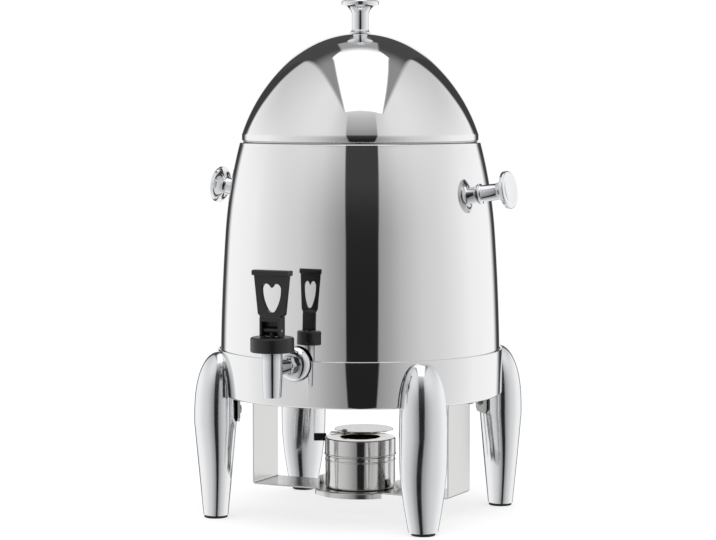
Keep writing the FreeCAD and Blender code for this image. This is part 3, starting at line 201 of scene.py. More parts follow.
# Straight behind, low down, the cove's white sweep shows again; level tops and trays mirror it.
sweep_bearing = add_node(
    sky, "ShaderNodeMapRange", {"interpolation_type": "SMOOTHSTEP", "From Min": 0.915, "From Max": 0.945},
    {"Value": half_turns},
).outputs["Result"]
sweep_rise = add_node(
    sky, "ShaderNodeMapRange", {"From Min": 0.22, "From Max": 0.34, "To Min": 1.0, "To Max": 0.0},
    {"Value": quarter_turns},
).outputs["Result"]
sweep_share = add_node(
    sky, "ShaderNodeMath", {"operation": "MULTIPLY"}, {0: sweep_bearing, 1: sweep_rise}
).outputs[0]
around = add_node(
    sky, "ShaderNodeMix", {"data_type": "RGBA", 7: (0.95, 0.95, 0.95, 1)}, {0: sweep_share, 6: level_round}
).outputs[2]

# Ceiling: places on it are measured by its slope sideways and forward. It is a dark strip between the wall
# tops, darker towards the back, and the square softbox hangs in it; both lie a little askew.
steep = add_node(sky, "ShaderNodeMath", {"operation": "MAXIMUM", 1: 0.05}, {0: height}).outputs[0]
across = add_node(sky, "ShaderNodeMath", {"operation": "DIVIDE"}, {0: sideways, 1: steep}).outputs[0]
along = add_node(sky, "ShaderNodeMath", {"operation": "DIVIDE"}, {0: forward, 1: steep}).outputs[0]
askew = add_node(
    sky, "ShaderNodeMath", {"operation": "MULTIPLY_ADD", 1: 0.058, 2: 0.026}, {0: along}
).outputs[0]
off_middle = add_node(sky, "ShaderNodeMath", {"operation": "SUBTRACT"}, {0: across, 1: askew}).outputs[0]
off_size = add_node(sky, "ShaderNodeMath", {"operation": "ABSOLUTE"}, {0: off_middle}).outputs[0]
wall_top = add_node(
    sky, "ShaderNodeMath", {"operation": "MULTIPLY_ADD", 1: -0.2, 2: 0.505}, {0: along}
).outputs[0]
under_top = add_node(
    sky, "ShaderNodeMath", {"operation": "SUBTRACT"}, {0: off_size, 1: wall_top}
).outputs[0]
ceiling_sides = add_node(
    sky, "ShaderNodeMapRange", {"From Min": -0.025, "From Max": 0.025, "To Min": 1.0, "To Max": 0.0},
    {"Value": under_top},
).outputs["Result"]
ceiling_front = add_node(
    sky,
    "ShaderNodeMapRange",
    {"From Min": 0.74, "From Max": 0.765, "To Min": 1.0, "To Max": 0.0},
    {"Value": along}
).outputs["Result"]
ceiling_share = add_node(
    sky, "ShaderNodeMath", {"operation": "MULTIPLY"}, {0: ceiling_sides, 1: ceiling_front}
).outputs[0]
overhead = add_node(sky, "ShaderNodeMath", {"operation": "GREATER_THAN", 1: 0.3}, {0: height}).outputs[0]
ceiling_here = add_node(
    sky, "ShaderNodeMath", {"operation": "MULTIPLY"}, {0: ceiling_share, 1: overhead}
).outputs[0]
ceiling_level = add_node(
    sky, "ShaderNodeMapRange",
    {
        "interpolation_type": "SMOOTHSTEP",
        "From Min": -0.65,
        "From Max": -0.15,
        "To Min": 0.075,
        "To Max": 0.32,
    },
    {"Value": along},
).outputs["Result"]
ceiling = add_node(
    sky, "ShaderNodeMix", {"data_type": "RGBA"}, {0: ceiling_here, 6: around, 7: ceiling_level}
).outputs[2]
box_along = add_node(sky, "ShaderNodeMath", {"operation": "ADD", 1: 0.1}, {0: along}).outputs[0]
box_along_size = add_node(sky, "ShaderNodeMath", {"operation": "ABSOLUTE"}, {0: box_along}).outputs[0]
box_half = add_node(
    sky, "ShaderNodeMapRange", {"From Min": -0.5, "From Max": -0.33, "To Min": 0.21, "To Max": 0.345},
    {"Value": along},
).outputs["Result"]
box_edge = add_node(sky, "ShaderNodeMath", {"operation": "SUBTRACT"}, {0: off_size, 1: box_half}).outputs[0]
box_sides = add_node(
    sky, "ShaderNodeMapRange", {"From Min": -0.012, "From Max": 0.012, "To Min": 1.0, "To Max": 0.0},
    {"Value": box_edge},
).outputs["Result"]
box_ends = add_node(
    sky, "ShaderNodeMapRange", {"From Min": 0.84, "From Max": 0.86, "To Min": 1.0, "To Max": 0.0},
    {"Value": box_along_size},
).outputs["Result"]
box_share = add_node(
    sky, "ShaderNodeMath", {"operation": "MULTIPLY"}, {0: box_sides, 1: box_ends}
).outputs[0]
box_here = add_node(
    sky, "ShaderNodeMath", {"operation": "MULTIPLY"}, {0: box_share, 1: overhead}
).outputs[0]
# The box hangs from a pale frame at its back end, so its light falls away there.
box_level = add_node(
    sky, "ShaderNodeMapRange",
    {"interpolation_type": "SMOOTHSTEP", "From Min": -0.6, "From Max": -0.31, "To Min": 0.42, "To Max": 1.5},
    {"Value": along},
).outputs["Result"]
studio = add_node(
    sky, "ShaderNodeMix", {"data_type": "RGBA"}, {0: box_here, 6: ceiling, 7: box_level}
).outputs[2]

seen = add_node(sky, "ShaderNodeLightPath")
plain_strength = add_node(
    sky, "ShaderNodeMapRange", {"To Min": 0.75, "To Max": 1.0}, {"Value": seen.outputs["Is Camera Ray"]}
).outputs["Result"]
plain = add_node(sky, "ShaderNodeBackground", {"Color": (1, 1, 1, 1)}, {"Strength": plain_strength})
mirrored = add_node(sky, "ShaderNodeBackground", links={"Color": studio})
chosen = add_node(
    sky,
    "ShaderNodeMixShader",
    links={0: seen.outputs["Is Glossy Ray"], 1: plain.outputs[0], 2: mirrored.outputs[0]},
)
add_node(sky, "ShaderNodeOutputWorld", links={"Surface": chosen.outputs[0]})

# One soft lamp overhead gives the soft shadow; the polished steel already shows the softbox in the world.
lamp = bpy.data.lights.new("overhead_lamp", "AREA")
lamp.shape = "SQUARE"
lamp.size = 1.4
lamp.energy = 18.0
overhead_lamp = bpy.data.objects.new("overhead_lamp", lamp)
overhead_lamp.location = (0.2, -0.5, 1.9)
overhead_lamp.rotation_euler = (math.radians(15), 0, 0)
overhead_lamp.visible_glossy = False
scene.collection.objects.link(overhead_lamp)


# Table: a plain white round top. It glows to the camera, so that it meets the white cove without an edge, and
# the rest of its white comes from the light on it, so that the object's shadow stays.
table_paint = bpy.data.materials.new("white_table")
table_paint.use_nodes = True
tree = table_paint.node_tree
tree.nodes.clear()
matt = add_node(tree, "ShaderNodeBsdfDiffuse", {"Color": (0.36, 0.36, 0.36, 1)})
path = add_node(tree, "ShaderNodeLightPath")
glow_rays = add_node(
    tree,
    "ShaderNodeMath",
    {"operation": "MAXIMUM"},
    {0: path.outputs["Is Camera Ray"], 1: path.outputs["Is Glossy Ray"]}
)
glow_all = add_node(
    tree,
    "ShaderNodeMath",
    {"operation": "MAXIMUM"},
    {0: glow_rays.outputs[0], 1: path.outputs["Is Transmission Ray"]}
)
glow_strength = add_node(
    tree, "ShaderNodeMath", {"operation": "MULTIPLY", 1: 0.71}, {0: glow_all.outputs[0]}
)
glow = add_node(tree, "ShaderNodeEmission", {"Color": (1, 1, 1, 1)}, {"Strength": glow_strength.outputs[0]})
both = add_node(tree, "ShaderNodeAddShader", links={0: matt.outputs[0], 1: glow.outputs[0]})
add_node(tree, "ShaderNodeOutputMaterial", links={"Surface": both.outputs[0]})


def surface_mesh(name, *grids):
    """Mesh of grids of points, each rows by columns, its columns closed into rings and its ends into poles
    or, where the last row meets the first, into a loop. Doubles are merged and the faces point outwards."""
    points = []
    faces = []
    base = 0
    for grid in grids:
        rows, columns = grid.shape[:2]
        index = base + np.arange(rows * columns).reshape(rows, columns)
        after = np.roll(index, -1, axis=1)
        faces.append(np.stack([index[:-1], after[:-1], after[1:], index[1:]], axis=-1).reshape(-1, 4))
        points.append(grid.reshape(-1, 3))
        base += rows * columns
    mesh = bpy.data.meshes.new(name)
    mesh.from_pydata(np.concatenate(points).tolist(), [], np.concatenate(faces).tolist())
    shape = bmesh.new()
    shape.from_mesh(mesh)
    bmesh.ops.remove_doubles(shape, verts=shape.verts, dist=2e-7)
    bmesh.ops.dissolve_degenerate(shape, edges=shape.edges, dist=1e-8)
    bmesh.ops.recalc_face_normals(shape, faces=shape.faces)
    shape.to_mesh(mesh)
    shape.free()
    return mesh


top_radius = np.linspace(0, 1.5, 16)[:, None]
top_angle = np.linspace(0, 2 * math.pi, 96, endpoint=False)[None, :]
table_grid = np.stack(
    [top_radius * np.cos(top_angle), top_radius * np.sin(top_angle), 0 * top_radius * top_angle - 0.0002],
    axis=-1
)
table_mesh = surface_mesh("table_top", table_grid)
table_mesh.flip_normals()
table_mesh.materials.append(table_paint)
table_top = bpy.data.objects.new("table_top", table_mesh)
scene.collection.objects.link(table_top)
table_top.visible_glossy = False


# Vessel wall: a spun and welded shell of stainless sheet, mirror-polished, with its mouth rolled inwards.
# Its outline is two tangent arcs, upright at the foot. Polishing leaves a very faint haze.


def linear(hex_colour):
    """Linear colour of an sRGB hex value: a channel c is c / 12.92 up to 0.04045, and above that
    ((c + 0.055) / 1.055)^2.4."""
    parts = np.array([int(hex_colour[i : i + 2], 16) for i in (1, 3, 5)]) / 255
    return (*np.where(parts <= 0.04045, parts / 12.92, ((parts + 0.055) / 1.055) ** 2.4), 1.0)


polished_steel = bpy.data.materials.new("mirror_polished_stainless")
polished_steel.use_nodes = True
tree = polished_steel.node_tree
shader = tree.nodes["Principled BSDF"]
shader.inputs["Base Color"].default_value = linear("#E6E6E7")
shader.inputs["Metallic"].default_value = 1.0
place = add_node(tree, "ShaderNodeTexCoord").outputs["Object"]
# Handling haze in patches some 60 mm across: it dulls the mirror a little, as on a wiped urn.
haze = add_node(tree, "ShaderNodeTexNoise", {"Scale": 16.0, "Detail": 3.0}, {"Vector": place})
haze_range = add_node(
    tree,
    "ShaderNodeMapRange",
    {"From Min": 0.35, "From Max": 0.75, "To Min": 0.025, "To Max": 0.06},
    {"Value": haze.outputs[0]}
)
tree.links.new(haze_range.outputs["Result"], shader.inputs["Roughness"])
# Buffing lines run round the wall, 0.4 mm apart, drawn four times as coarse to show at all.
lines = add_node(tree, "ShaderNodeMapping", {"Scale": (1.0, 1.0, 60.0)}, {"Vector": place})
buffing = add_node(tree, "ShaderNodeTexNoise", {"Scale": 10.0, "Detail": 2.0}, {"Vector": lines.outputs[0]})
buffed = add_node(
    tree, "ShaderNodeBump", {"Strength": 0.006, "Distance": 0.0004}, {"Height": buffing.outputs[0]}
)
tree.links.new(buffed.outputs[0], shader.inputs["Normal"])


def arc_run(start, end, radius, count):
    """Points along the arc from start to end. Its centre is sqrt(radius^2 - chord^2 / 4) to the left of the
    chord's middle for a positive radius, or to the right for a negative one; the angle grows evenly."""
    start, end = np.array(start, float), np.array(end, float)
    chord = end - start
    left = np.array([-chord[1], chord[0]]) / np.linalg.norm(chord)
    depth = math.sqrt(max(radius**2 - chord @ chord / 4, 0))
    centre = (start + end) / 2 + left * depth * (1 if radius > 0 else -1)
    first = math.atan2(*(start - centre)[::-1])
    last = math.atan2(*(end - centre)[::-1])
    turn = (last - first + math.pi) % (2 * math.pi) - math.pi
    angle = first + turn * np.linspace(0, 1, count)
    return centre + abs(radius) * np.stack([np.cos(angle), np.sin(angle)], axis=-1)


def turned(outline, columns=256):
    """Surface of revolution, from mm to metres: an outline's point at radius r and height z, turned by the
    angle t, is (r cos t, r sin t, z)."""
    angle = np.linspace(0, 2 * math.pi, columns, endpoint=False)
    radius, up = outline[:, :1] / 1000, outline[:, 1:] / 1000
    return np.stack(
        [radius * np.cos(angle), radius * np.sin(angle), up + np.zeros_like(angle)[None, :]], axis=-1
    )


def smooth_object(name, mesh, material, body, replaced=()):
    """Links a finished mesh as a piece: smooth where it curves, and sharp where its faces turn by more than
    35 degrees."""
    mesh.shade_smooth()
    mesh.set_sharp_from_angle(angle=math.radians(35))
    mesh.materials.append(material)
    made = bpy.data.objects.new(name, mesh)
    scene.collection.objects.link(made)
    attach(made, body)
    if replaced:
        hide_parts(*replaced)
    return made


foot_radius, waist_radius, mouth_radius = 140.0, 134.7, 120.2
shell_foot, waist_height, mouth_height = 122.5, 280.0, 371.0
sheet_wall, rim_round, rim_inner = 1.2, 1.2, 113.2
lower_rise, lower_inset = waist_height - shell_foot, foot_radius - waist_radius
lower_arc = (lower_rise**2 + lower_inset**2) / (2 * lower_inset)
waist_sine, waist_cosine = lower_rise / lower_arc, 1 - lower_inset / lower_arc
upper_rise = mouth_height - rim_round - waist_height
upper_inset = waist_radius - mouth_radius
upper_chord = math.hypot(upper_rise, upper_inset)
upper_arc = upper_chord**2 / (2 * (upper_inset * waist_cosine - upper_rise * waist_sine))
upper_centre_radius = waist_radius - upper_arc * waist_cosine
upper_centre_height = waist_height - upper_arc * waist_sine
lower_run = arc_run((foot_radius, shell_foot), (waist_radius, waist_height), lower_arc, 60)
upper_run = arc_run((waist_radius, waist_height), (mouth_radius, mouth_height - rim_round), upper_arc, 50)
rim_run = arc_run(
    (mouth_radius, mouth_height - rim_round), (mouth_radius - rim_round, mouth_height), rim_round, 8
)
inward = np.array([sheet_wall, 0.0])
shell_outline = np.concatenate(
    [
        lower_run,
        upper_run[1:],
        rim_run[1:],
        [[rim_inner, mouth_height], [rim_inner, mouth_height - sheet_wall]],
        (upper_run[:-2] - inward)[::-1],
        (lower_run[:-1] - inward)[::-1],
        lower_run[:1],
    ]
)
smooth_object(
    "body_wall",
    surface_mesh("body_wall", turned(shell_outline, 384)),
    polished_steel,
    "urn",
    ["body_shell"],
)


# Tank floor: a pan pressed from rolled stainless sheet and welded inside the wall. Rolling leaves fine
# straight streaks; the burner has warmed the middle of its underside to a faint straw tint.
rolled_sheet = bpy.data.materials.new("rolled_stainless_sheet")
rolled_sheet.use_nodes = True
tree = rolled_sheet.node_tree
shader = tree.nodes["Principled BSDF"]
shader.inputs["Metallic"].default_value = 1.0
spot = add_node(tree, "ShaderNodeTexCoord")
place = spot.outputs["Object"]
# Streaks some 0.6 mm wide and 40 mm long.
streak_space = add_node(tree, "ShaderNodeMapping", {"Scale": (25.0, 1600.0, 400.0)}, {"Vector": place})
streaks = add_node(
    tree, "ShaderNodeTexNoise", {"Scale": 1.0, "Detail": 3.0}, {"Vector": streak_space.outputs[0]}
)
streak_gloss = add_node(
    tree, "ShaderNodeMapRange", {"From Min": 0.3, "From Max": 0.7, "To Min": 0.24, "To Max": 0.31},
    {"Value": streaks.outputs[0]},
)
tree.links.new(streak_gloss.outputs["Result"], shader.inputs["Roughness"])
level = add_node(tree, "ShaderNodeMapping", {"Scale": (1.0, 1.0, 0.0)}, {"Vector": place})
from_axis = add_node(tree, "ShaderNodeVectorMath", {"operation": "LENGTH"}, {0: level.outputs[0]})
warmth = add_node(
    tree, "ShaderNodeMapRange", {"From Min": 0.02, "From Max": 0.09, "To Min": 1.0, "To Max": 0.0},
    {"Value": from_axis.outputs["Value"]},
)
facing = add_node(tree, "ShaderNodeSeparateXYZ", links={0: spot.outputs["Normal"]})
facing_down = add_node(
    tree, "ShaderNodeMath", {"operation": "LESS_THAN", 1: -0.5}, {0: facing.outputs["Z"]}
)
warm_below = add_node(
    tree,
    "ShaderNodeMath",
    {"operation": "MULTIPLY"},
    {0: warmth.outputs["Result"], 1: facing_down.outputs[0]}
)
sheet_tint = add_node(
    tree, "ShaderNodeMix", {"data_type": "RGBA", 6: linear("#C6C6C5"), 7: linear("#C3B79C")},
    {0: warm_below.outputs[0]},
)
# Painted shade: in narrow slots, less than 9 mm wide, ambient occlusion darkens the sheet's colour towards
# dark grey.
occlusion_for_painted_shade = add_node(tree, "ShaderNodeAmbientOcclusion", {"Distance": 0.009})
painted_shade_fade = add_node(
    tree, "ShaderNodeMapRange", {"From Min": 0.05, "From Max": 0.55}, {"Value": occlusion_for_painted_shade.outputs["AO"]}
)
sheet_tint_and_painted_shade = add_node(
    tree, "ShaderNodeMix", {"data_type": "RGBA", 6: linear("#5E5E5D")},
    {0: painted_shade_fade.outputs["Result"], 7: sheet_tint.outputs[2]},
)
tree.links.new(sheet_tint_and_painted_shade.outputs[2], shader.inputs["Base Color"])


def finish_nodes(material, *names):
    """Gives carried-over CAD pieces their real finish."""
    for name in names:
        for material_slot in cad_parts[name].material_slots:
            material_slot.material = material


finish_nodes(rolled_sheet, "tank_base")


# Stand ring: a rolled band of mirror-polished stainless with an inward ledge, which carries the vessel. Its
# upper edge has a U-shaped notch, so that the tap's seal lies on the vessel's wall.
ring_bottom, ring_top, ring_inner, ring_outer = 121.0, 166.0, 140.3, 142.1
ledge_radius, ledge_top, ring_corner = 118.0, 122.5, 2.0
upper_half = 140.0
notch_half, notch_centre = 14.5, 163.0


def rounded(corners, steps=6):
    """Closed outline from corners (across, up, round): each corner becomes an arc that starts and ends
    round * tan(turn / 2) away from it, sampled evenly by angle. It ends where it starts."""
    table = np.array(corners, float)
    spot, round_size = table[:, :2], np.maximum(table[:, 2], 1e-6)
    before = np.roll(spot, 1, axis=0) - spot
    after = np.roll(spot, -1, axis=0) - spot
    before /= np.linalg.norm(before, axis=1, keepdims=True)
    after /= np.linalg.norm(after, axis=1, keepdims=True)
    middle = before + after
    length = np.linalg.norm(middle, axis=1, keepdims=True)
    middle /= np.maximum(length, 1e-9)
    half = np.arccos(np.clip((before * after).sum(axis=1), -1, 1)) / 2
    centre = spot + middle * (round_size / np.maximum(np.sin(half), 1e-6))[:, None]
    reach = (round_size / np.maximum(np.tan(half), 1e-6))[:, None]
    first, last = spot + before * reach - centre, spot + after * reach - centre
    start = np.arctan2(first[:, 1], first[:, 0])
    turn = (np.arctan2(last[:, 1], last[:, 0]) - start + math.pi) % (2 * math.pi) - math.pi
    angle = start[:, None] + turn[:, None] * np.linspace(0, 1, steps)[None, :]
    ring = centre[:, None, :] + round_size[:, None, None] * np.stack([np.cos(angle), np.sin(angle)], axis=-1)
    outline = ring.reshape(-1, 2)
    return np.concatenate([outline, outline[:1]])


def ring_grid():
    """Band: its section runs round at every angle, and the section's upper corners sink to the notch, whose
    height over the middle is centre - sqrt(half^2 - x^2). Columns crowd at the notch by x = half * sin(t)."""
    edge = math.asin(notch_half / ring_outer)
    inside = np.arcsin(np.sin(np.linspace(-math.pi / 2, math.pi / 2, 41)) * notch_half / ring_outer)
    beyond = np.linspace(edge, 2 * math.pi - edge, 380)
    sweep = np.concatenate([inside, beyond])
    x = ring_outer * np.sin(sweep)
    low = notch_centre - np.sqrt(np.maximum(notch_half**2 - x**2, 0))
    top = np.where(np.arange(len(sweep)) < len(inside), low, ring_top)
    section = rounded(
        [
            (ledge_radius, ring_bottom, 0.3),
            (ring_outer, ring_bottom, ring_corner),
            (ring_outer, ring_top, 0.45),
            (ring_inner, ring_top, 0.3),
            (ring_inner, ledge_top, 0.3),
            (ledge_radius, ledge_top, 0.3),
        ]
    )
    radius, up = section[:, :1], section[:, 1:]
    sunk = up - (up > upper_half) * (ring_top - top[None, :])
    angle = sweep[None, :] - math.pi / 2
    return np.stack([radius * np.cos(angle), radius * np.sin(angle), sunk], axis=-1) / 1000


smooth_object(
    "foot_band",
    surface_mesh("foot_band", ring_grid()),
    polished_steel,
    "urn",
    ["stand_ring"]
)


# Legs: four bullet-topped castings, filed, polished and bright-plated. Each stands under the ring on a shelf,
# hugs the ring above it, and has a flat on its inner side for the tab that it is screwed to.
plated_casting = bpy.data.materials.new("bright_plated_casting")
plated_casting.use_nodes = True
tree = plated_casting.node_tree
shader = tree.nodes["Principled BSDF"]
shader.inputs["Base Color"].default_value = linear("#E4E5E7")
shader.inputs["Metallic"].default_value = 1.0
place = add_node(tree, "ShaderNodeTexCoord").outputs["Object"]
# Hand polishing leaves the surface gently wavy, over some 25 mm, which breaks up long reflections.
waves = add_node(tree, "ShaderNodeTexNoise", {"Scale": 40.0, "Detail": 1.0}, {"Vector": place})
wavy = add_node(
    tree, "ShaderNodeBump", {"Strength": 0.03, "Distance": 0.0006}, {"Height": waves.outputs[0]}
)
tree.links.new(wavy.outputs[0], shader.inputs["Normal"])
# Rubbed patches 15 mm across are a little duller.
rubbed = add_node(tree, "ShaderNodeTexNoise", {"Scale": 70.0, "Detail": 3.0}, {"Vector": place})
rubbed_gloss = add_node(
    tree, "ShaderNodeMapRange", {"From Min": 0.35, "From Max": 0.75, "To Min": 0.12, "To Max": 0.17},
    {"Value": rubbed.outputs[0]},
)
tree.links.new(rubbed_gloss.outputs["Result"], shader.inputs["Roughness"])

leg_centre, leg_foot, leg_widest, leg_top = 147.5, 3.0, 95.0, 165.0
foot_half_width, foot_half_depth, leg_half_width, leg_half_depth = 14.7, 12.3, 23.75, 21.0
leg_flat, tab_room, ring_room = 128.1, 95.7, 142.2
swell_share, arch_power, top_lean = 0.78, 2.6, 5.4


def leg_grid(angle):
    """Ovals one above the other. Below the widest height the half width grows by a sine and the half depth
    evenly; above it both shrink as (1 - s^p)^(1 / p). Inner points give way to the flat and the ring."""
    share_low = np.linspace(0, 1, 60)
    share_high = 1 - np.linspace(1, 0, 70) ** 2
    swell = np.sin(np.minimum(math.pi / 2, math.pi / 2 * share_low / swell_share))
    low_width = foot_half_width + (leg_half_width - foot_half_width) * swell
    low_depth = foot_half_depth + (leg_half_depth - foot_half_depth) * share_low
    arch = np.maximum(1 - share_high**arch_power, 0) ** (1 / arch_power)
    height = np.concatenate(
        [
            leg_foot + (leg_widest - leg_foot) * share_low,
            leg_widest + (leg_top - leg_widest) * share_high[1:],
        ]
    )
    half_width = np.concatenate([low_width, leg_half_width * arch[1:]])
    half_depth = np.concatenate([low_depth, leg_half_depth * arch[1:]])
    centre = np.concatenate(
        [np.full(len(share_low), leg_centre), leg_centre - top_lean * share_high[1:] ** 3]
    )
    stations = np.unique(np.concatenate([height, [tab_room, ring_bottom]]))
    stations = np.sort(np.concatenate([stations, [tab_room, ring_bottom]]))
    second_of_pair = np.append(False, np.diff(stations) == 0)
    along = np.interp(stations, height, half_width)
    away = np.interp(stations, height, half_depth)
    middle = np.interp(stations, height, centre)
    turn = np.linspace(0, 2 * math.pi, 128, endpoint=False)[None, :]
    x = middle[:, None] + away[:, None] * np.cos(turn)
    y = along[:, None] * np.sin(turn) + 0 * x
    over_ring = (stations > ring_bottom) | ((stations == ring_bottom) & second_of_pair)
    at_tab = ((stations > tab_room) | ((stations == tab_room) & second_of_pair)) & ~over_ring
    x = np.where(at_tab[:, None], np.maximum(x, leg_flat), x)
    x = np.where(over_ring[:, None], np.maximum(x, np.sqrt(ring_room**2 - y**2)), x)
    z = stations[:, None] + 0 * x
    shape = np.stack([x, y, z], axis=-1)
    foot_hub = np.array([leg_centre, 0, leg_foot]) + 0 * shape[:1]
    leg = np.concatenate([foot_hub, shape])
    return leg @ np.array(Matrix.Rotation(angle, 3, "Z")).T / 1000


leg_bearings = {"front_right": -40, "rear_right": 40, "rear_left": 140, "front_left": 220}
for side, bearing_degrees in leg_bearings.items():
    smooth_object(
        f"cast_leg_{side}",
        surface_mesh(f"cast_leg_{side}", leg_grid(math.radians(bearing_degrees))),
        plated_casting,
        "urn",
        [f"leg_{side}"],
    )


# Foot pads: turned discs of matt black rubber, which keep the castings off the table. Each is pressed into
# its leg by a stem.
black_rubber = bpy.data.materials.new("matt_black_rubber")
black_rubber.use_nodes = True
tree = black_rubber.node_tree
shader = tree.nodes["Principled BSDF"]
shader.inputs["Base Color"].default_value = linear("#1B1B1C")
shader.inputs["Roughness"].default_value = 0.72
place = add_node(tree, "ShaderNodeTexCoord").outputs["Object"]
# A fine mould grain 0.6 mm wide.
grain = add_node(tree, "ShaderNodeTexNoise", {"Scale": 1600.0, "Detail": 2.0}, {"Vector": place})
grained = add_node(
    tree, "ShaderNodeBump", {"Strength": 0.25, "Distance": 0.0002}, {"Height": grain.outputs[0]}
)
tree.links.new(grained.outputs[0], shader.inputs["Normal"])


def moved(grid, place_mm, turn=None):
    """A grid turned by a matrix about the origin, then moved."""
    turned_grid = grid if turn is None else grid @ np.array(turn).T
    return turned_grid + np.array(place_mm) / 1000


pad_radius, pad_stem, stem_top = 11.6, 4.0, 10.0
pad_outline = rounded(
    [
        (0.0, 0.0, 0),
        (pad_radius, 0.0, 0.8),
        (pad_radius, leg_foot, 0.4),
        (pad_stem, leg_foot, 0),
        (pad_stem, stem_top, 0.6),
        (0.0, stem_top, 0),
    ]
)
pad_grids = [
    moved(
        turned(pad_outline, 96),
        (leg_centre * math.cos(math.radians(degrees)), leg_centre * math.sin(math.radians(degrees)), 0),
    )
    for degrees in leg_bearings.values()
]
smooth_object(
    "rubber_feet",
    surface_mesh("rubber_feet", *pad_grids),
    black_rubber,
    "urn",
    ["foot_pads"],
)


# Tabs and their screws: plain plates welded under the ledge, with one pan-head screw and washer to each leg.
# The screws are plain stainless, tumbled after heading, so they are soft-edged and a little grey.
plain_stainless = bpy.data.materials.new("tumbled_stainless_fastener")
plain_stainless.use_nodes = True
tree = plain_stainless.node_tree
shader = tree.nodes["Principled BSDF"]
shader.inputs["Base Color"].default_value = linear("#B9B9B8")
shader.inputs["Metallic"].default_value = 1.0
place = add_node(tree, "ShaderNodeTexCoord").outputs["Object"]
# Tumbling marks 0.8 mm across.
tumble = add_node(tree, "ShaderNodeTexVoronoi", {"Scale": 1200.0}, {"Vector": place})
tumble_gloss = add_node(
    tree, "ShaderNodeMapRange", {"From Min": 0.0, "From Max": 0.8, "To Min": 0.2, "To Max": 0.36},
    {"Value": tumble.outputs["Distance"]},
)
tree.links.new(tumble_gloss.outputs["Result"], shader.inputs["Roughness"])
finish_nodes(rolled_sheet, "leg_tabs")
finish_nodes(plain_stainless, "leg_washers", "leg_screws")


# Lid dome: spun from one disc of stainless and mirror-polished: a round crown, a flatter shoulder that leaves
# it tangent, and a short upright band at the edge. Its skin is 1.2 mm thick and has a hole for the knob.
lid_top, lid_edge, band_top, lid_radius = 479.0, 372.8, 378.5, 118.0
crown_arc, shoulder_drop, knob_hole = 106.0, 29.0, 2.8
crown_cosine = 1 - shoulder_drop / crown_arc
crown_sine = math.sqrt(1 - crown_cosine**2)
shoulder = np.array([crown_arc * crown_sine, lid_top - shoulder_drop])
band_corner = np.array([lid_radius, band_top])
shoulder_chord = band_corner - shoulder
shoulder_off = -shoulder_chord[1] * crown_cosine - shoulder_chord[0] * crown_sine
shoulder_arc = shoulder_chord @ shoulder_chord / (2 * shoulder_off)
crown_angle = np.linspace(math.asin(crown_sine), math.asin(knob_hole / crown_arc), 64)
crown_run = np.stack(
    [crown_arc * np.sin(crown_angle), lid_top - crown_arc + crown_arc * np.cos(crown_angle)], axis=-1
)
shoulder_run = arc_run(band_corner, shoulder, shoulder_arc, 56)
edge_round = 0.6
edge_roll = arc_run((lid_radius - edge_round, lid_edge), (lid_radius, lid_edge + edge_round), edge_round, 6)
outer_skin = np.concatenate([edge_roll, shoulder_run, crown_run[1:]])
skin_turn = np.gradient(outer_skin, axis=0)
skin_turn /= np.linalg.norm(skin_turn, axis=1, keepdims=True)
inward_step = np.stack([-skin_turn[:, 1], skin_turn[:, 0]], axis=-1) * sheet_wall
inner_skin = (outer_skin + inward_step)[len(edge_roll) + 1 :][::2]
lid_outline = np.concatenate(
    [outer_skin, inner_skin[::-1], [[lid_radius - sheet_wall, lid_edge]], outer_skin[:1]]
)
smooth_object(
    "lid_skin",
    surface_mesh("lid_skin", turned(lid_outline, 384)),
    polished_steel,
    "lid",
    ["lid_dome"]
)

# Lid collar: a rolled ring of plain stainless sheet, spot-welded inside the dome's edge. It drops into the
# mouth and centres the lid.
collar_inner, flange_radius, collar_sheet = 111.5, 116.75, 1.0
collar_foot, flange_under, flange_lip = 359.3, 371.3, 373.8
collar_outline = rounded(
    [
        (collar_inner, collar_foot, 0.3),
        (collar_inner + collar_sheet, collar_foot, 0.3),
        (collar_inner + collar_sheet, flange_under, 0.3),
        (flange_radius, flange_under, 0.3),
        (flange_radius, flange_lip, 0.2),
        (flange_radius - collar_sheet, flange_lip, 0.2),
        (flange_radius - collar_sheet, flange_under + collar_sheet, 0.2),
        (collar_inner, flange_under + collar_sheet, 0.3),
    ]
)
smooth_object(
    "mouth_collar",
    surface_mesh("mouth_collar", turned(collar_outline, 256)),
    rolled_sheet,
    "lid",
    ["lid_collar"],
)


# Knobs: one turned and bright-plated shape three times, on the lid and at both sides: a flared foot, a
# waisted stem and a dished head. The lathe leaves faint rings, which the plating doesn't fill.
turned_plated = bpy.data.materials.new("turned_bright_plating")
turned_plated.use_nodes = True
tree = turned_plated.node_tree
shader = tree.nodes["Principled BSDF"]
shader.inputs["Base Color"].default_value = linear("#E3E4E6")
shader.inputs["Metallic"].default_value = 1.0
lathe_reach = add_node(tree, "ShaderNodeAttribute", {"attribute_name": "lathe_reach_mm"})
# Rings 0.3 mm apart, drawn three times as coarse to show.
ring_phase = add_node(
    tree, "ShaderNodeMath", {"operation": "MULTIPLY", 1: 2 * math.pi / 0.9}, {0: lathe_reach.outputs["Fac"]}
)
rings = add_node(tree, "ShaderNodeMath", {"operation": "SINE"}, {0: ring_phase.outputs[0]})
ringed = add_node(
    tree, "ShaderNodeBump", {"Strength": 0.05, "Distance": 0.0001}, {"Height": rings.outputs[0]}
)
tree.links.new(ringed.outputs[0], shader.inputs["Normal"])
place = add_node(tree, "ShaderNodeTexCoord").outputs["Object"]
# Finger haze in patches 10 mm across.
touched = add_node(tree, "ShaderNodeTexNoise", {"Scale": 100.0, "Detail": 3.0}, {"Vector": place})
touched_gloss = add_node(
    tree, "ShaderNodeMapRange", {"From Min": 0.35, "From Max": 0.75, "To Min": 0.03, "To Max": 0.09},
    {"Value": touched.outputs[0]},
)
tree.links.new(touched_gloss.outputs["Result"], shader.inputs["Roughness"])

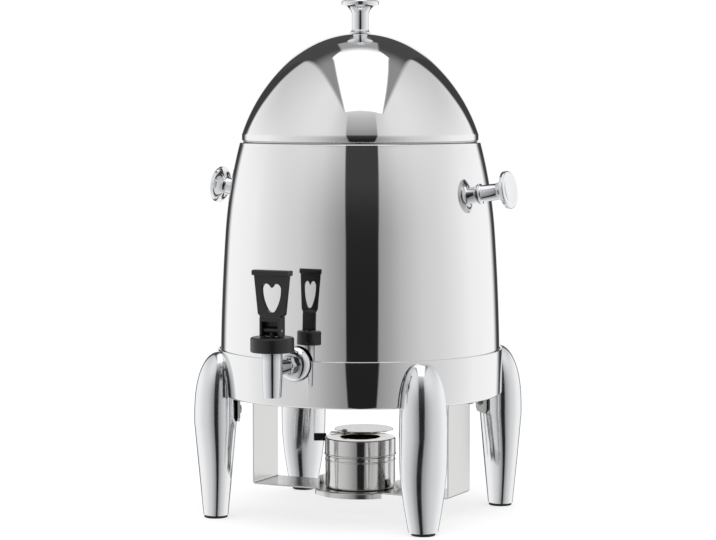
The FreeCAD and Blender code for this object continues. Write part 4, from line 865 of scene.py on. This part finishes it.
knob_bore, bore_depth, seat_gap = 2.55, 13.0, 0.05
knob_foot, foot_round, foot_flare = 10.0, 0.3, 3.48
stem_radius, stem_low, stem_high = 8.2, 4.05, 19.0
head_radius, head_under, head_round, head_flare = 18.5, 27.875, 1.75, 12.6
knob_top, dish_radius, dish_bottom, dish_arc = 32.0, 14.5, 30.8, 88.2
knob_outline = np.concatenate(
    [
        [[knob_bore, bore_depth], [knob_bore, seat_gap], [knob_foot - foot_round, seat_gap]],
        arc_run((knob_foot - foot_round, seat_gap), (knob_foot, seat_gap + foot_round), foot_round, 5)[1:],
        arc_run((knob_foot, 1.05), (stem_radius, stem_low), -foot_flare, 12),
        arc_run((stem_radius, stem_high), (head_radius, head_under), -head_flare, 26),
        arc_run((head_radius, knob_top - head_round), (head_radius - head_round, knob_top), head_round, 10),
        arc_run((dish_radius, knob_top), (0.0, dish_bottom), -dish_arc, 24),
        [[0.0, bore_depth], [knob_bore, bore_depth]],
    ]
)


def mark_lathe_reach(mesh, origin_mm, axis):
    """Stores at each point p how far it lies from the lathe's axis, in mm: the length of
    (p - origin) less its part along the axis."""
    spots = np.empty(len(mesh.vertices) * 3)
    mesh.vertices.foreach_get("co", spots)
    away = spots.reshape(-1, 3) * 1000 - np.array(origin_mm)
    away -= (away @ np.array(axis))[:, None] * np.array(axis)
    reach_mm = mesh.attributes.new("lathe_reach_mm", "FLOAT", "POINT")
    reach_mm.data.foreach_set("value", np.linalg.norm(away, axis=1))
    return mesh


side_knob_height = 321.5
wall_lean = side_knob_height - upper_centre_height
wall_radius = upper_centre_radius + math.sqrt(upper_arc**2 - wall_lean**2)
wall_tilt = math.pi / 2 - math.asin(wall_lean / upper_arc)
knob_seats = {
    "lid_knob": ("lid", (0, 0, lid_top), 0.0),
    "side_knob_right": ("urn", (wall_radius, 0, side_knob_height), wall_tilt),
    "side_knob_left": ("urn", (-wall_radius, 0, side_knob_height), -wall_tilt),
}
for node, (body, seat, tilt) in knob_seats.items():
    tilted = Matrix.Rotation(tilt, 3, "Y")
    knob_mesh = surface_mesh(f"turned_{node}", moved(turned(knob_outline, 192), seat, tilted))
    mark_lathe_reach(knob_mesh, seat, tilted @ Vector((0, 0, 1)))
    smooth_object(f"turned_{node}", knob_mesh, turned_plated, body, [node])

# Inside, each knob is held by a pan-head screw with a washer over a ring of milky silicone rubber.
silicone = bpy.data.materials.new("milky_silicone_rubber")
silicone.use_nodes = True
tree = silicone.node_tree
shader = tree.nodes["Principled BSDF"]
shader.inputs["Roughness"].default_value = 0.42
shader.inputs["IOR"].default_value = 1.41
shader.inputs["Subsurface Weight"].default_value = 0.25
shader.inputs["Subsurface Scale"].default_value = 0.002
place = add_node(tree, "ShaderNodeTexCoord").outputs["Object"]
# Moulded silicone clouds slightly, in patches 3 mm across.
clouds = add_node(tree, "ShaderNodeTexNoise", {"Scale": 330.0, "Detail": 2.0}, {"Vector": place})
cloud_tint = add_node(
    tree,
    "ShaderNodeMix",
    {"data_type": "RGBA", 6: linear("#CFCFC8"), 7: linear("#DADAD5")},
    {0: clouds.outputs[0]}
)
tree.links.new(cloud_tint.outputs[2], shader.inputs["Base Color"])
finish_nodes(silicone, "side_knob_seals", "lid_knob_seal")
finish_nodes(
    plain_stainless, "side_knob_washers", "side_knob_screws", "lid_knob_washer", "lid_knob_screw"
)


# Tap: one brass casting, turned, polished and bright-plated. The upright barrel is the spout below and the
# valve chamber above; the threaded shank runs back through the wall, with a hexagon for the spanner.
plated_brass = bpy.data.materials.new("bright_plated_brass")
plated_brass.use_nodes = True
tree = plated_brass.node_tree
shader = tree.nodes["Principled BSDF"]
shader.inputs["Metallic"].default_value = 1.0
place = add_node(tree, "ShaderNodeTexCoord").outputs["Object"]
# The casting's skin shows through the polish as dimples 4 mm across.
dimples = add_node(tree, "ShaderNodeTexNoise", {"Scale": 250.0, "Detail": 2.0}, {"Vector": place})
dimpled = add_node(
    tree, "ShaderNodeBump", {"Strength": 0.1, "Distance": 0.0003}, {"Height": dimples.outputs[0]}
)
tree.links.new(dimpled.outputs[0], shader.inputs["Normal"])
dimple_gloss = add_node(
    tree, "ShaderNodeMapRange", {"From Min": 0.3, "From Max": 0.75, "To Min": 0.04, "To Max": 0.1},
    {"Value": dimples.outputs[0]},
)
tree.links.new(dimple_gloss.outputs["Result"], shader.inputs["Roughness"])
# Painted shade: in corners and recesses, within 12 mm, ambient occlusion darkens the plating's colour towards
# dark grey.
occlusion_for_painted_shade = add_node(tree, "ShaderNodeAmbientOcclusion", {"Distance": 0.012})
painted_shade_fade = add_node(
    tree, "ShaderNodeMapRange", {"From Min": 0.2, "From Max": 0.9}, {"Value": occlusion_for_painted_shade.outputs["AO"]}
)
brass_with_painted_shade = add_node(
    tree, "ShaderNodeMix", {"data_type": "RGBA", 6: linear("#55565A"), 7: linear("#DFE0E3")},
    {0: painted_shade_fade.outputs["Result"]},
)
tree.links.new(brass_with_painted_shade.outputs[2], shader.inputs["Base Color"])

tap_axis, shank_height = -187.0, 163.0
outlet_bore, outlet_radius, outlet_height = 5.5, 8.5, 136.0
chamber_bore, barrel_radius, seat_height = 7.2, 9.6, 156.0
barrel_flange, flange_low, barrel_top = 15.0, 180.5, 184.0
barrel_outline = rounded(
    [
        (outlet_bore, outlet_height, 0.5),
        (outlet_radius, outlet_height, 0.7),
        (barrel_radius, seat_height, 8.0),
        (barrel_radius, flange_low, 1.2),
        (barrel_flange, flange_low, 0.4),
        (barrel_flange, barrel_top, 0.3),
        (chamber_bore, barrel_top, 0.3),
        (chamber_bore, seat_height, 0.2),
        (outlet_bore, seat_height, 0.4),
    ],
    8,
)
# Along the shank, from the barrel's axis back: a neck, the hexagon's place, and a thread, shown as rings.
shank_bore, shank_radius, shank_start, shank_end = 5.0, 8.0, 6.0, 66.0
thread_start, thread_pitch, thread_cut = 36.0, 1.25, 0.7
thread_at = np.arange(thread_start, shank_end - 1.5, thread_pitch / 2)
thread_depth = np.where(np.arange(len(thread_at)) % 2, thread_cut, 0.0)
shank_outline = np.concatenate(
    [
        [[shank_bore, shank_start], [shank_radius, shank_start], [shank_radius, thread_start - 0.3]],
        np.stack([shank_radius - thread_depth, thread_at], axis=-1),
        [[7.2, shank_end - 0.4], [6.8, shank_end], [shank_bore, shank_end], [shank_bore, shank_start]],
    ]
)
laid_back = Matrix.Rotation(-math.pi / 2, 3, "X")
shank_grid = moved(turned(shank_outline, 128), (0, tap_axis, shank_height), laid_back)


def hexagon_grid(start, finish, half_flats, corner_cut):
    """Hexagonal collar along Z: at angle t its radius is half_flats / cos(t mod 60 - 30), no more than
    corner_cut. Over the last millimetre at both ends it shrinks to the flats, as a chamfer turned on it."""
    turn = np.linspace(0, 2 * math.pi, 240, endpoint=False)
    flat_turn = (turn % (math.pi / 3)) - math.pi / 6
    radius = np.minimum(half_flats / np.cos(flat_turn), corner_cut)
    stations = np.array(
        [start, start, start + 0.4, start + 1.0, finish - 1.0, finish - 0.4, finish, finish]
    )
    limit = np.array(
        [0.0, half_flats, half_flats + 0.8, corner_cut, corner_cut, half_flats + 0.8, half_flats, 0.0]
    )
    reach = np.minimum(radius[None, :], limit[:, None])
    return np.stack(
        [reach * np.cos(turn), reach * np.sin(turn), stations[:, None] + 0 * reach], axis=-1
    ) / 1000


hexagon_at_axis = hexagon_grid(start=24.0, finish=37.0, half_flats=8.0, corner_cut=9.1)
hexagon_collar = moved(hexagon_at_axis, (0, tap_axis, shank_height), laid_back)
tap_mesh = surface_mesh(
    "tap_casting", moved(turned(barrel_outline, 192), (0, tap_axis, 0)), shank_grid, hexagon_collar
)
smooth_object("tap_casting", tap_mesh, plated_brass, "urn", ["tap_body"])

# Escutcheon: a small cover pressed from brass and plated like the tap. It sits round the shank against the
# wall and hides the edge of the tap's outer seal.
plate_place, plate_hole, plate_radius = -142.9, 8.2, 17.0
plate_rise, plate_sheet, plate_arc = 7.0, 1.5, 8.85
under_plate = plate_rise - plate_sheet
escutcheon_outline = np.concatenate(
    [
        [[plate_hole, under_plate]],
        arc_run((9.75, under_plate), (plate_radius - plate_sheet, 0.0), -plate_arc, 14),
        [[plate_radius, 0.0]],
        arc_run((plate_radius, 1.0), (10.5, plate_rise), plate_arc, 24),
        [[plate_hole, plate_rise], [plate_hole, under_plate]],
    ]
)
laid_forward = Matrix.Rotation(math.pi / 2, 3, "X")
smooth_object(
    "tap_cover_plate",
    surface_mesh(
        "tap_cover_plate",
        moved(turned(escutcheon_outline, 192), (0, plate_place, shank_height), laid_forward),
    ),
    plated_brass,
    "urn",
    ["tap_escutcheon"],
)
finish_nodes(silicone, "tap_outer_seal", "tap_inner_seal", "bonnet_seal", "seat_cup")
finish_nodes(plain_stainless, "tap_washer", "tap_nut", "tap_spring", "tap_pin")


# Bonnet: a cap moulded in black heat-proof plastic and screwed over the barrel's flange. Mould polish gives
# it and the lever a satin gloss over a fine even texture.
black_plastic = bpy.data.materials.new("black_moulded_plastic")
black_plastic.use_nodes = True
tree = black_plastic.node_tree
shader = tree.nodes["Principled BSDF"]
shader.inputs["IOR"].default_value = 1.5
place = add_node(tree, "ShaderNodeTexCoord").outputs["Object"]
# Texture pits 0.2 mm across, drawn three times as coarse to show.
pits = add_node(tree, "ShaderNodeTexNoise", {"Scale": 1600.0, "Detail": 2.0}, {"Vector": place})
pitted = add_node(
    tree, "ShaderNodeBump", {"Strength": 0.12, "Distance": 0.0001}, {"Height": pits.outputs[0]}
)
tree.links.new(pitted.outputs[0], shader.inputs["Normal"])
# Handling polishes it unevenly, in patches 8 mm across.
handled = add_node(tree, "ShaderNodeTexNoise", {"Scale": 125.0, "Detail": 3.0}, {"Vector": place})
handled_gloss = add_node(
    tree, "ShaderNodeMapRange", {"From Min": 0.3, "From Max": 0.7, "To Min": 0.3, "To Max": 0.42},
    {"Value": handled.outputs[0]},
)
tree.links.new(handled_gloss.outputs["Result"], shader.inputs["Roughness"])
handled_tint = add_node(
    tree,
    "ShaderNodeMix",
    {"data_type": "RGBA", 6: linear("#101011"), 7: linear("#19191A")},
    {0: handled.outputs[0]}
)
tree.links.new(handled_tint.outputs[2], shader.inputs["Base Color"])

bonnet_radius, bonnet_inner, stem_hole = 20.5, 15.2, 2.56
bonnet_foot, bonnet_ceiling, bonnet_top = 179.0, 185.8, 193.0
bonnet_outline = rounded(
    [
        (bonnet_inner, bonnet_foot, 0.3),
        (bonnet_radius, bonnet_foot, 1.0),
        (bonnet_radius, bonnet_top, 2.0),
        (stem_hole, bonnet_top, 0.3),
        (stem_hole, bonnet_ceiling, 0.1),
        (bonnet_inner, bonnet_ceiling, 0.3),
    ],
    8,
)
smooth_object(
    "moulded_bonnet",
    surface_mesh("moulded_bonnet", moved(turned(bonnet_outline, 192), (0, tap_axis, 0))),
    black_plastic,
    "urn",
    ["tap_bonnet"],
)


# Lever: moulded in one piece of black plastic, with a forked neck, a thin blade with a heart-shaped hole and
# a bar on top. The mould rounds every edge, so the CAD shape is taken over and its edges are eased.
def eased_piece(name, node, material, body, width, segments=3):
    """A copy of a CAD piece with its points joined, its flat faces made whole and its edges rounded."""
    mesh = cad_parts[node].data.copy()
    mesh.name = name
    mesh.materials.clear()
    shape = bmesh.new()
    shape.from_mesh(mesh)
    bmesh.ops.remove_doubles(shape, verts=shape.verts, dist=2e-6)
    bmesh.ops.dissolve_limit(shape, angle_limit=math.radians(0.6), verts=shape.verts, edges=shape.edges)
    bmesh.ops.recalc_face_normals(shape, faces=shape.faces)
    shape.to_mesh(mesh)
    shape.free()
    made = smooth_object(name, mesh, material, body, [node])
    easing = made.modifiers.new("edge_easing", "BEVEL")
    easing.width = width / 1000
    easing.segments = segments
    easing.limit_method = "ANGLE"
    easing.angle_limit = math.radians(40)
    easing.harden_normals = True
    return made


eased_piece("moulded_lever", "tap_handle", black_plastic, "tap_lever_arm", 0.5)
finish_nodes(black_plastic, "valve_stem")


# Burner bracket: one strip of stainless bent to a U and screwed under the ledge, with a round tray stamped in
# its floor. The strip was brushed along its length before bending and then polished over.
brushed_strip = bpy.data.materials.new("polished_brushed_strip")
brushed_strip.use_nodes = True
tree = brushed_strip.node_tree
shader = tree.nodes["Principled BSDF"]
shader.inputs["Base Color"].default_value = linear("#D0D0CF")
shader.inputs["Metallic"].default_value = 1.0
place = add_node(tree, "ShaderNodeTexCoord").outputs["Object"]
# Brush lines 0.3 mm apart across the strip, drawn twice as coarse, and some 50 mm long.
brush_space = add_node(tree, "ShaderNodeMapping", {"Scale": (20.0, 1600.0, 20.0)}, {"Vector": place})
brush_lines = add_node(
    tree, "ShaderNodeTexNoise", {"Scale": 1.0, "Detail": 3.0}, {"Vector": brush_space.outputs[0]}
)
brush_gloss = add_node(
    tree, "ShaderNodeMapRange", {"From Min": 0.3, "From Max": 0.7, "To Min": 0.16, "To Max": 0.26},
    {"Value": brush_lines.outputs[0]},
)
tree.links.new(brush_gloss.outputs["Result"], shader.inputs["Roughness"])
brushed = add_node(
    tree, "ShaderNodeBump", {"Strength": 0.03, "Distance": 0.0001}, {"Height": brush_lines.outputs[0]}
)
tree.links.new(brushed.outputs[0], shader.inputs["Normal"])
eased_piece("bent_bracket", "burner_bracket", brushed_strip, "urn", 0.3, 2)
finish_nodes(plain_stainless, "bracket_nuts", "bracket_screws")


# Burner cup: spun from stainless over a chuck, with a bead below its rim that the cover's edge sits near. The
# spinning tool leaves fine lines that run round it.
spun_steel = bpy.data.materials.new("spun_polished_stainless")
spun_steel.use_nodes = True
tree = spun_steel.node_tree
shader = tree.nodes["Principled BSDF"]
shader.inputs["Metallic"].default_value = 1.0
place = add_node(tree, "ShaderNodeTexCoord").outputs["Object"]
level = add_node(tree, "ShaderNodeMapping", {"Scale": (1.0, 1.0, 0.0)}, {"Vector": place})
reach = add_node(tree, "ShaderNodeVectorMath", {"operation": "LENGTH"}, {0: level.outputs[0]})
lift = add_node(tree, "ShaderNodeSeparateXYZ", links={0: place})
lathe_space = add_node(
    tree, "ShaderNodeCombineXYZ", links={0: reach.outputs["Value"], 1: lift.outputs["Z"]}
)
# Spinning lines 0.4 mm apart, drawn twice as coarse.
spin_lines = add_node(
    tree, "ShaderNodeTexNoise", {"Scale": 1250.0, "Detail": 2.0}, {"Vector": lathe_space.outputs[0]}
)
spun = add_node(
    tree, "ShaderNodeBump", {"Strength": 0.05, "Distance": 0.0001}, {"Height": spin_lines.outputs[0]}
)
tree.links.new(spun.outputs[0], shader.inputs["Normal"])
spin_gloss = add_node(
    tree, "ShaderNodeMapRange", {"From Min": 0.3, "From Max": 0.7, "To Min": 0.07, "To Max": 0.16},
    {"Value": spin_lines.outputs[0]},
)
tree.links.new(spin_gloss.outputs["Result"], shader.inputs["Roughness"])
# The flame has stained the steel near the cover's opening a faint brown.
stain = add_node(
    tree, "ShaderNodeMapRange", {"From Min": 0.019, "From Max": 0.031, "To Min": 1.0, "To Max": 0.0},
    {"Value": reach.outputs["Value"]},
)
near_top = add_node(
    tree, "ShaderNodeMath", {"operation": "GREATER_THAN", 1: 0.0735}, {0: lift.outputs["Z"]}
)
stain_here = add_node(
    tree, "ShaderNodeMath", {"operation": "MULTIPLY"}, {0: stain.outputs["Result"], 1: near_top.outputs[0]}
)
stained = add_node(
    tree, "ShaderNodeMix", {"data_type": "RGBA", 6: linear("#D2D2D1"), 7: linear("#B8AE9C")},
    {0: stain_here.outputs[0]},
)
tree.links.new(stained.outputs[2], shader.inputs["Base Color"])

burner_radius, burner_inner, rim_half = 35.0, 34.0, 0.5
cup_floor, cup_inside, cup_top = 25.0, 26.0, 57.5
cup_round, inside_round, bead_arc = 2.0, 1.5, 1.035
bead_low, bead_high = 52.1, 53.9
rim_middle = burner_radius - rim_half
cup_outline = np.concatenate(
    [
        [[0.0, cup_floor]],
        arc_run(
            (burner_radius - cup_round, cup_floor), (burner_radius, cup_floor + cup_round), cup_round, 12
        ),
        arc_run((burner_radius, bead_low), (burner_radius, bead_high), bead_arc, 12),
        arc_run((burner_radius, cup_top - rim_half), (rim_middle, cup_top), rim_half, 6),
        arc_run((rim_middle, cup_top), (burner_inner, cup_top - rim_half), rim_half, 6)[1:],
        arc_run(
            (burner_inner, cup_inside + inside_round),
            (burner_inner - inside_round, cup_inside),
            -inside_round,
            8,
        ),
        [[0.0, cup_inside]],
    ]
)
smooth_object(
    "spun_burner_cup",
    surface_mesh("spun_burner_cup", turned(cup_outline, 256)),
    spun_steel,
    "burner",
    ["burner_cup"],
)

# Burner cover: a cap spun from the same stainless, with a rolled lower edge that sits on the cup's rim, a lip
# that centres it and a round opening for the flame.
lip_inner, lip_outer, lip_foot = 32.5, 33.5, 51.8
cover_radius, cover_inner, cover_foot, cover_top = 35.6, 34.6, 57.8, 75.2
roll_high, shelf_top, cover_under = 59.6, 58.8, 74.2
cover_round, flame_radius, flame_round = 1.5, 20.0, 0.5
cover_outline = np.concatenate(
    [
        [[lip_inner, lip_foot], [lip_outer, lip_foot], [lip_outer, cover_foot]],
        arc_run((cover_radius, cover_foot), (cover_radius, roll_high), bead_arc, 14),
        arc_run(
            (cover_radius, cover_top - cover_round), (cover_radius - cover_round, cover_top), cover_round, 10
        ),
        arc_run(
            (flame_radius + flame_round, cover_top), (flame_radius, cover_top - flame_round), flame_round, 6
        ),
        [[flame_radius, cover_under]],
        arc_run((cover_inner - 0.5, cover_under), (cover_inner, cover_under - 0.5), -0.5, 5),
        [[cover_inner, shelf_top], [lip_inner, shelf_top], [lip_inner, lip_foot]],
    ]
)
smooth_object(
    "spun_burner_cover",
    surface_mesh("spun_burner_cover", turned(cover_outline, 256)),
    spun_steel,
    "burner_top",
    ["burner_cover"],
)
finish_nodes(plain_stainless, "damper_rivet")

# Damper: a disc stamped from stainless with a lever bent down past the rim, free to swing on its rivet. Its
# edges are tumbled. The grip is a black plastic sleeve pushed over the lever's end.
eased_piece("stamped_damper", "damper_disc", brushed_strip, "damper", 0.25, 2)
eased_piece("damper_sleeve", "damper_grip", black_plastic, "damper", 0.35, 2)
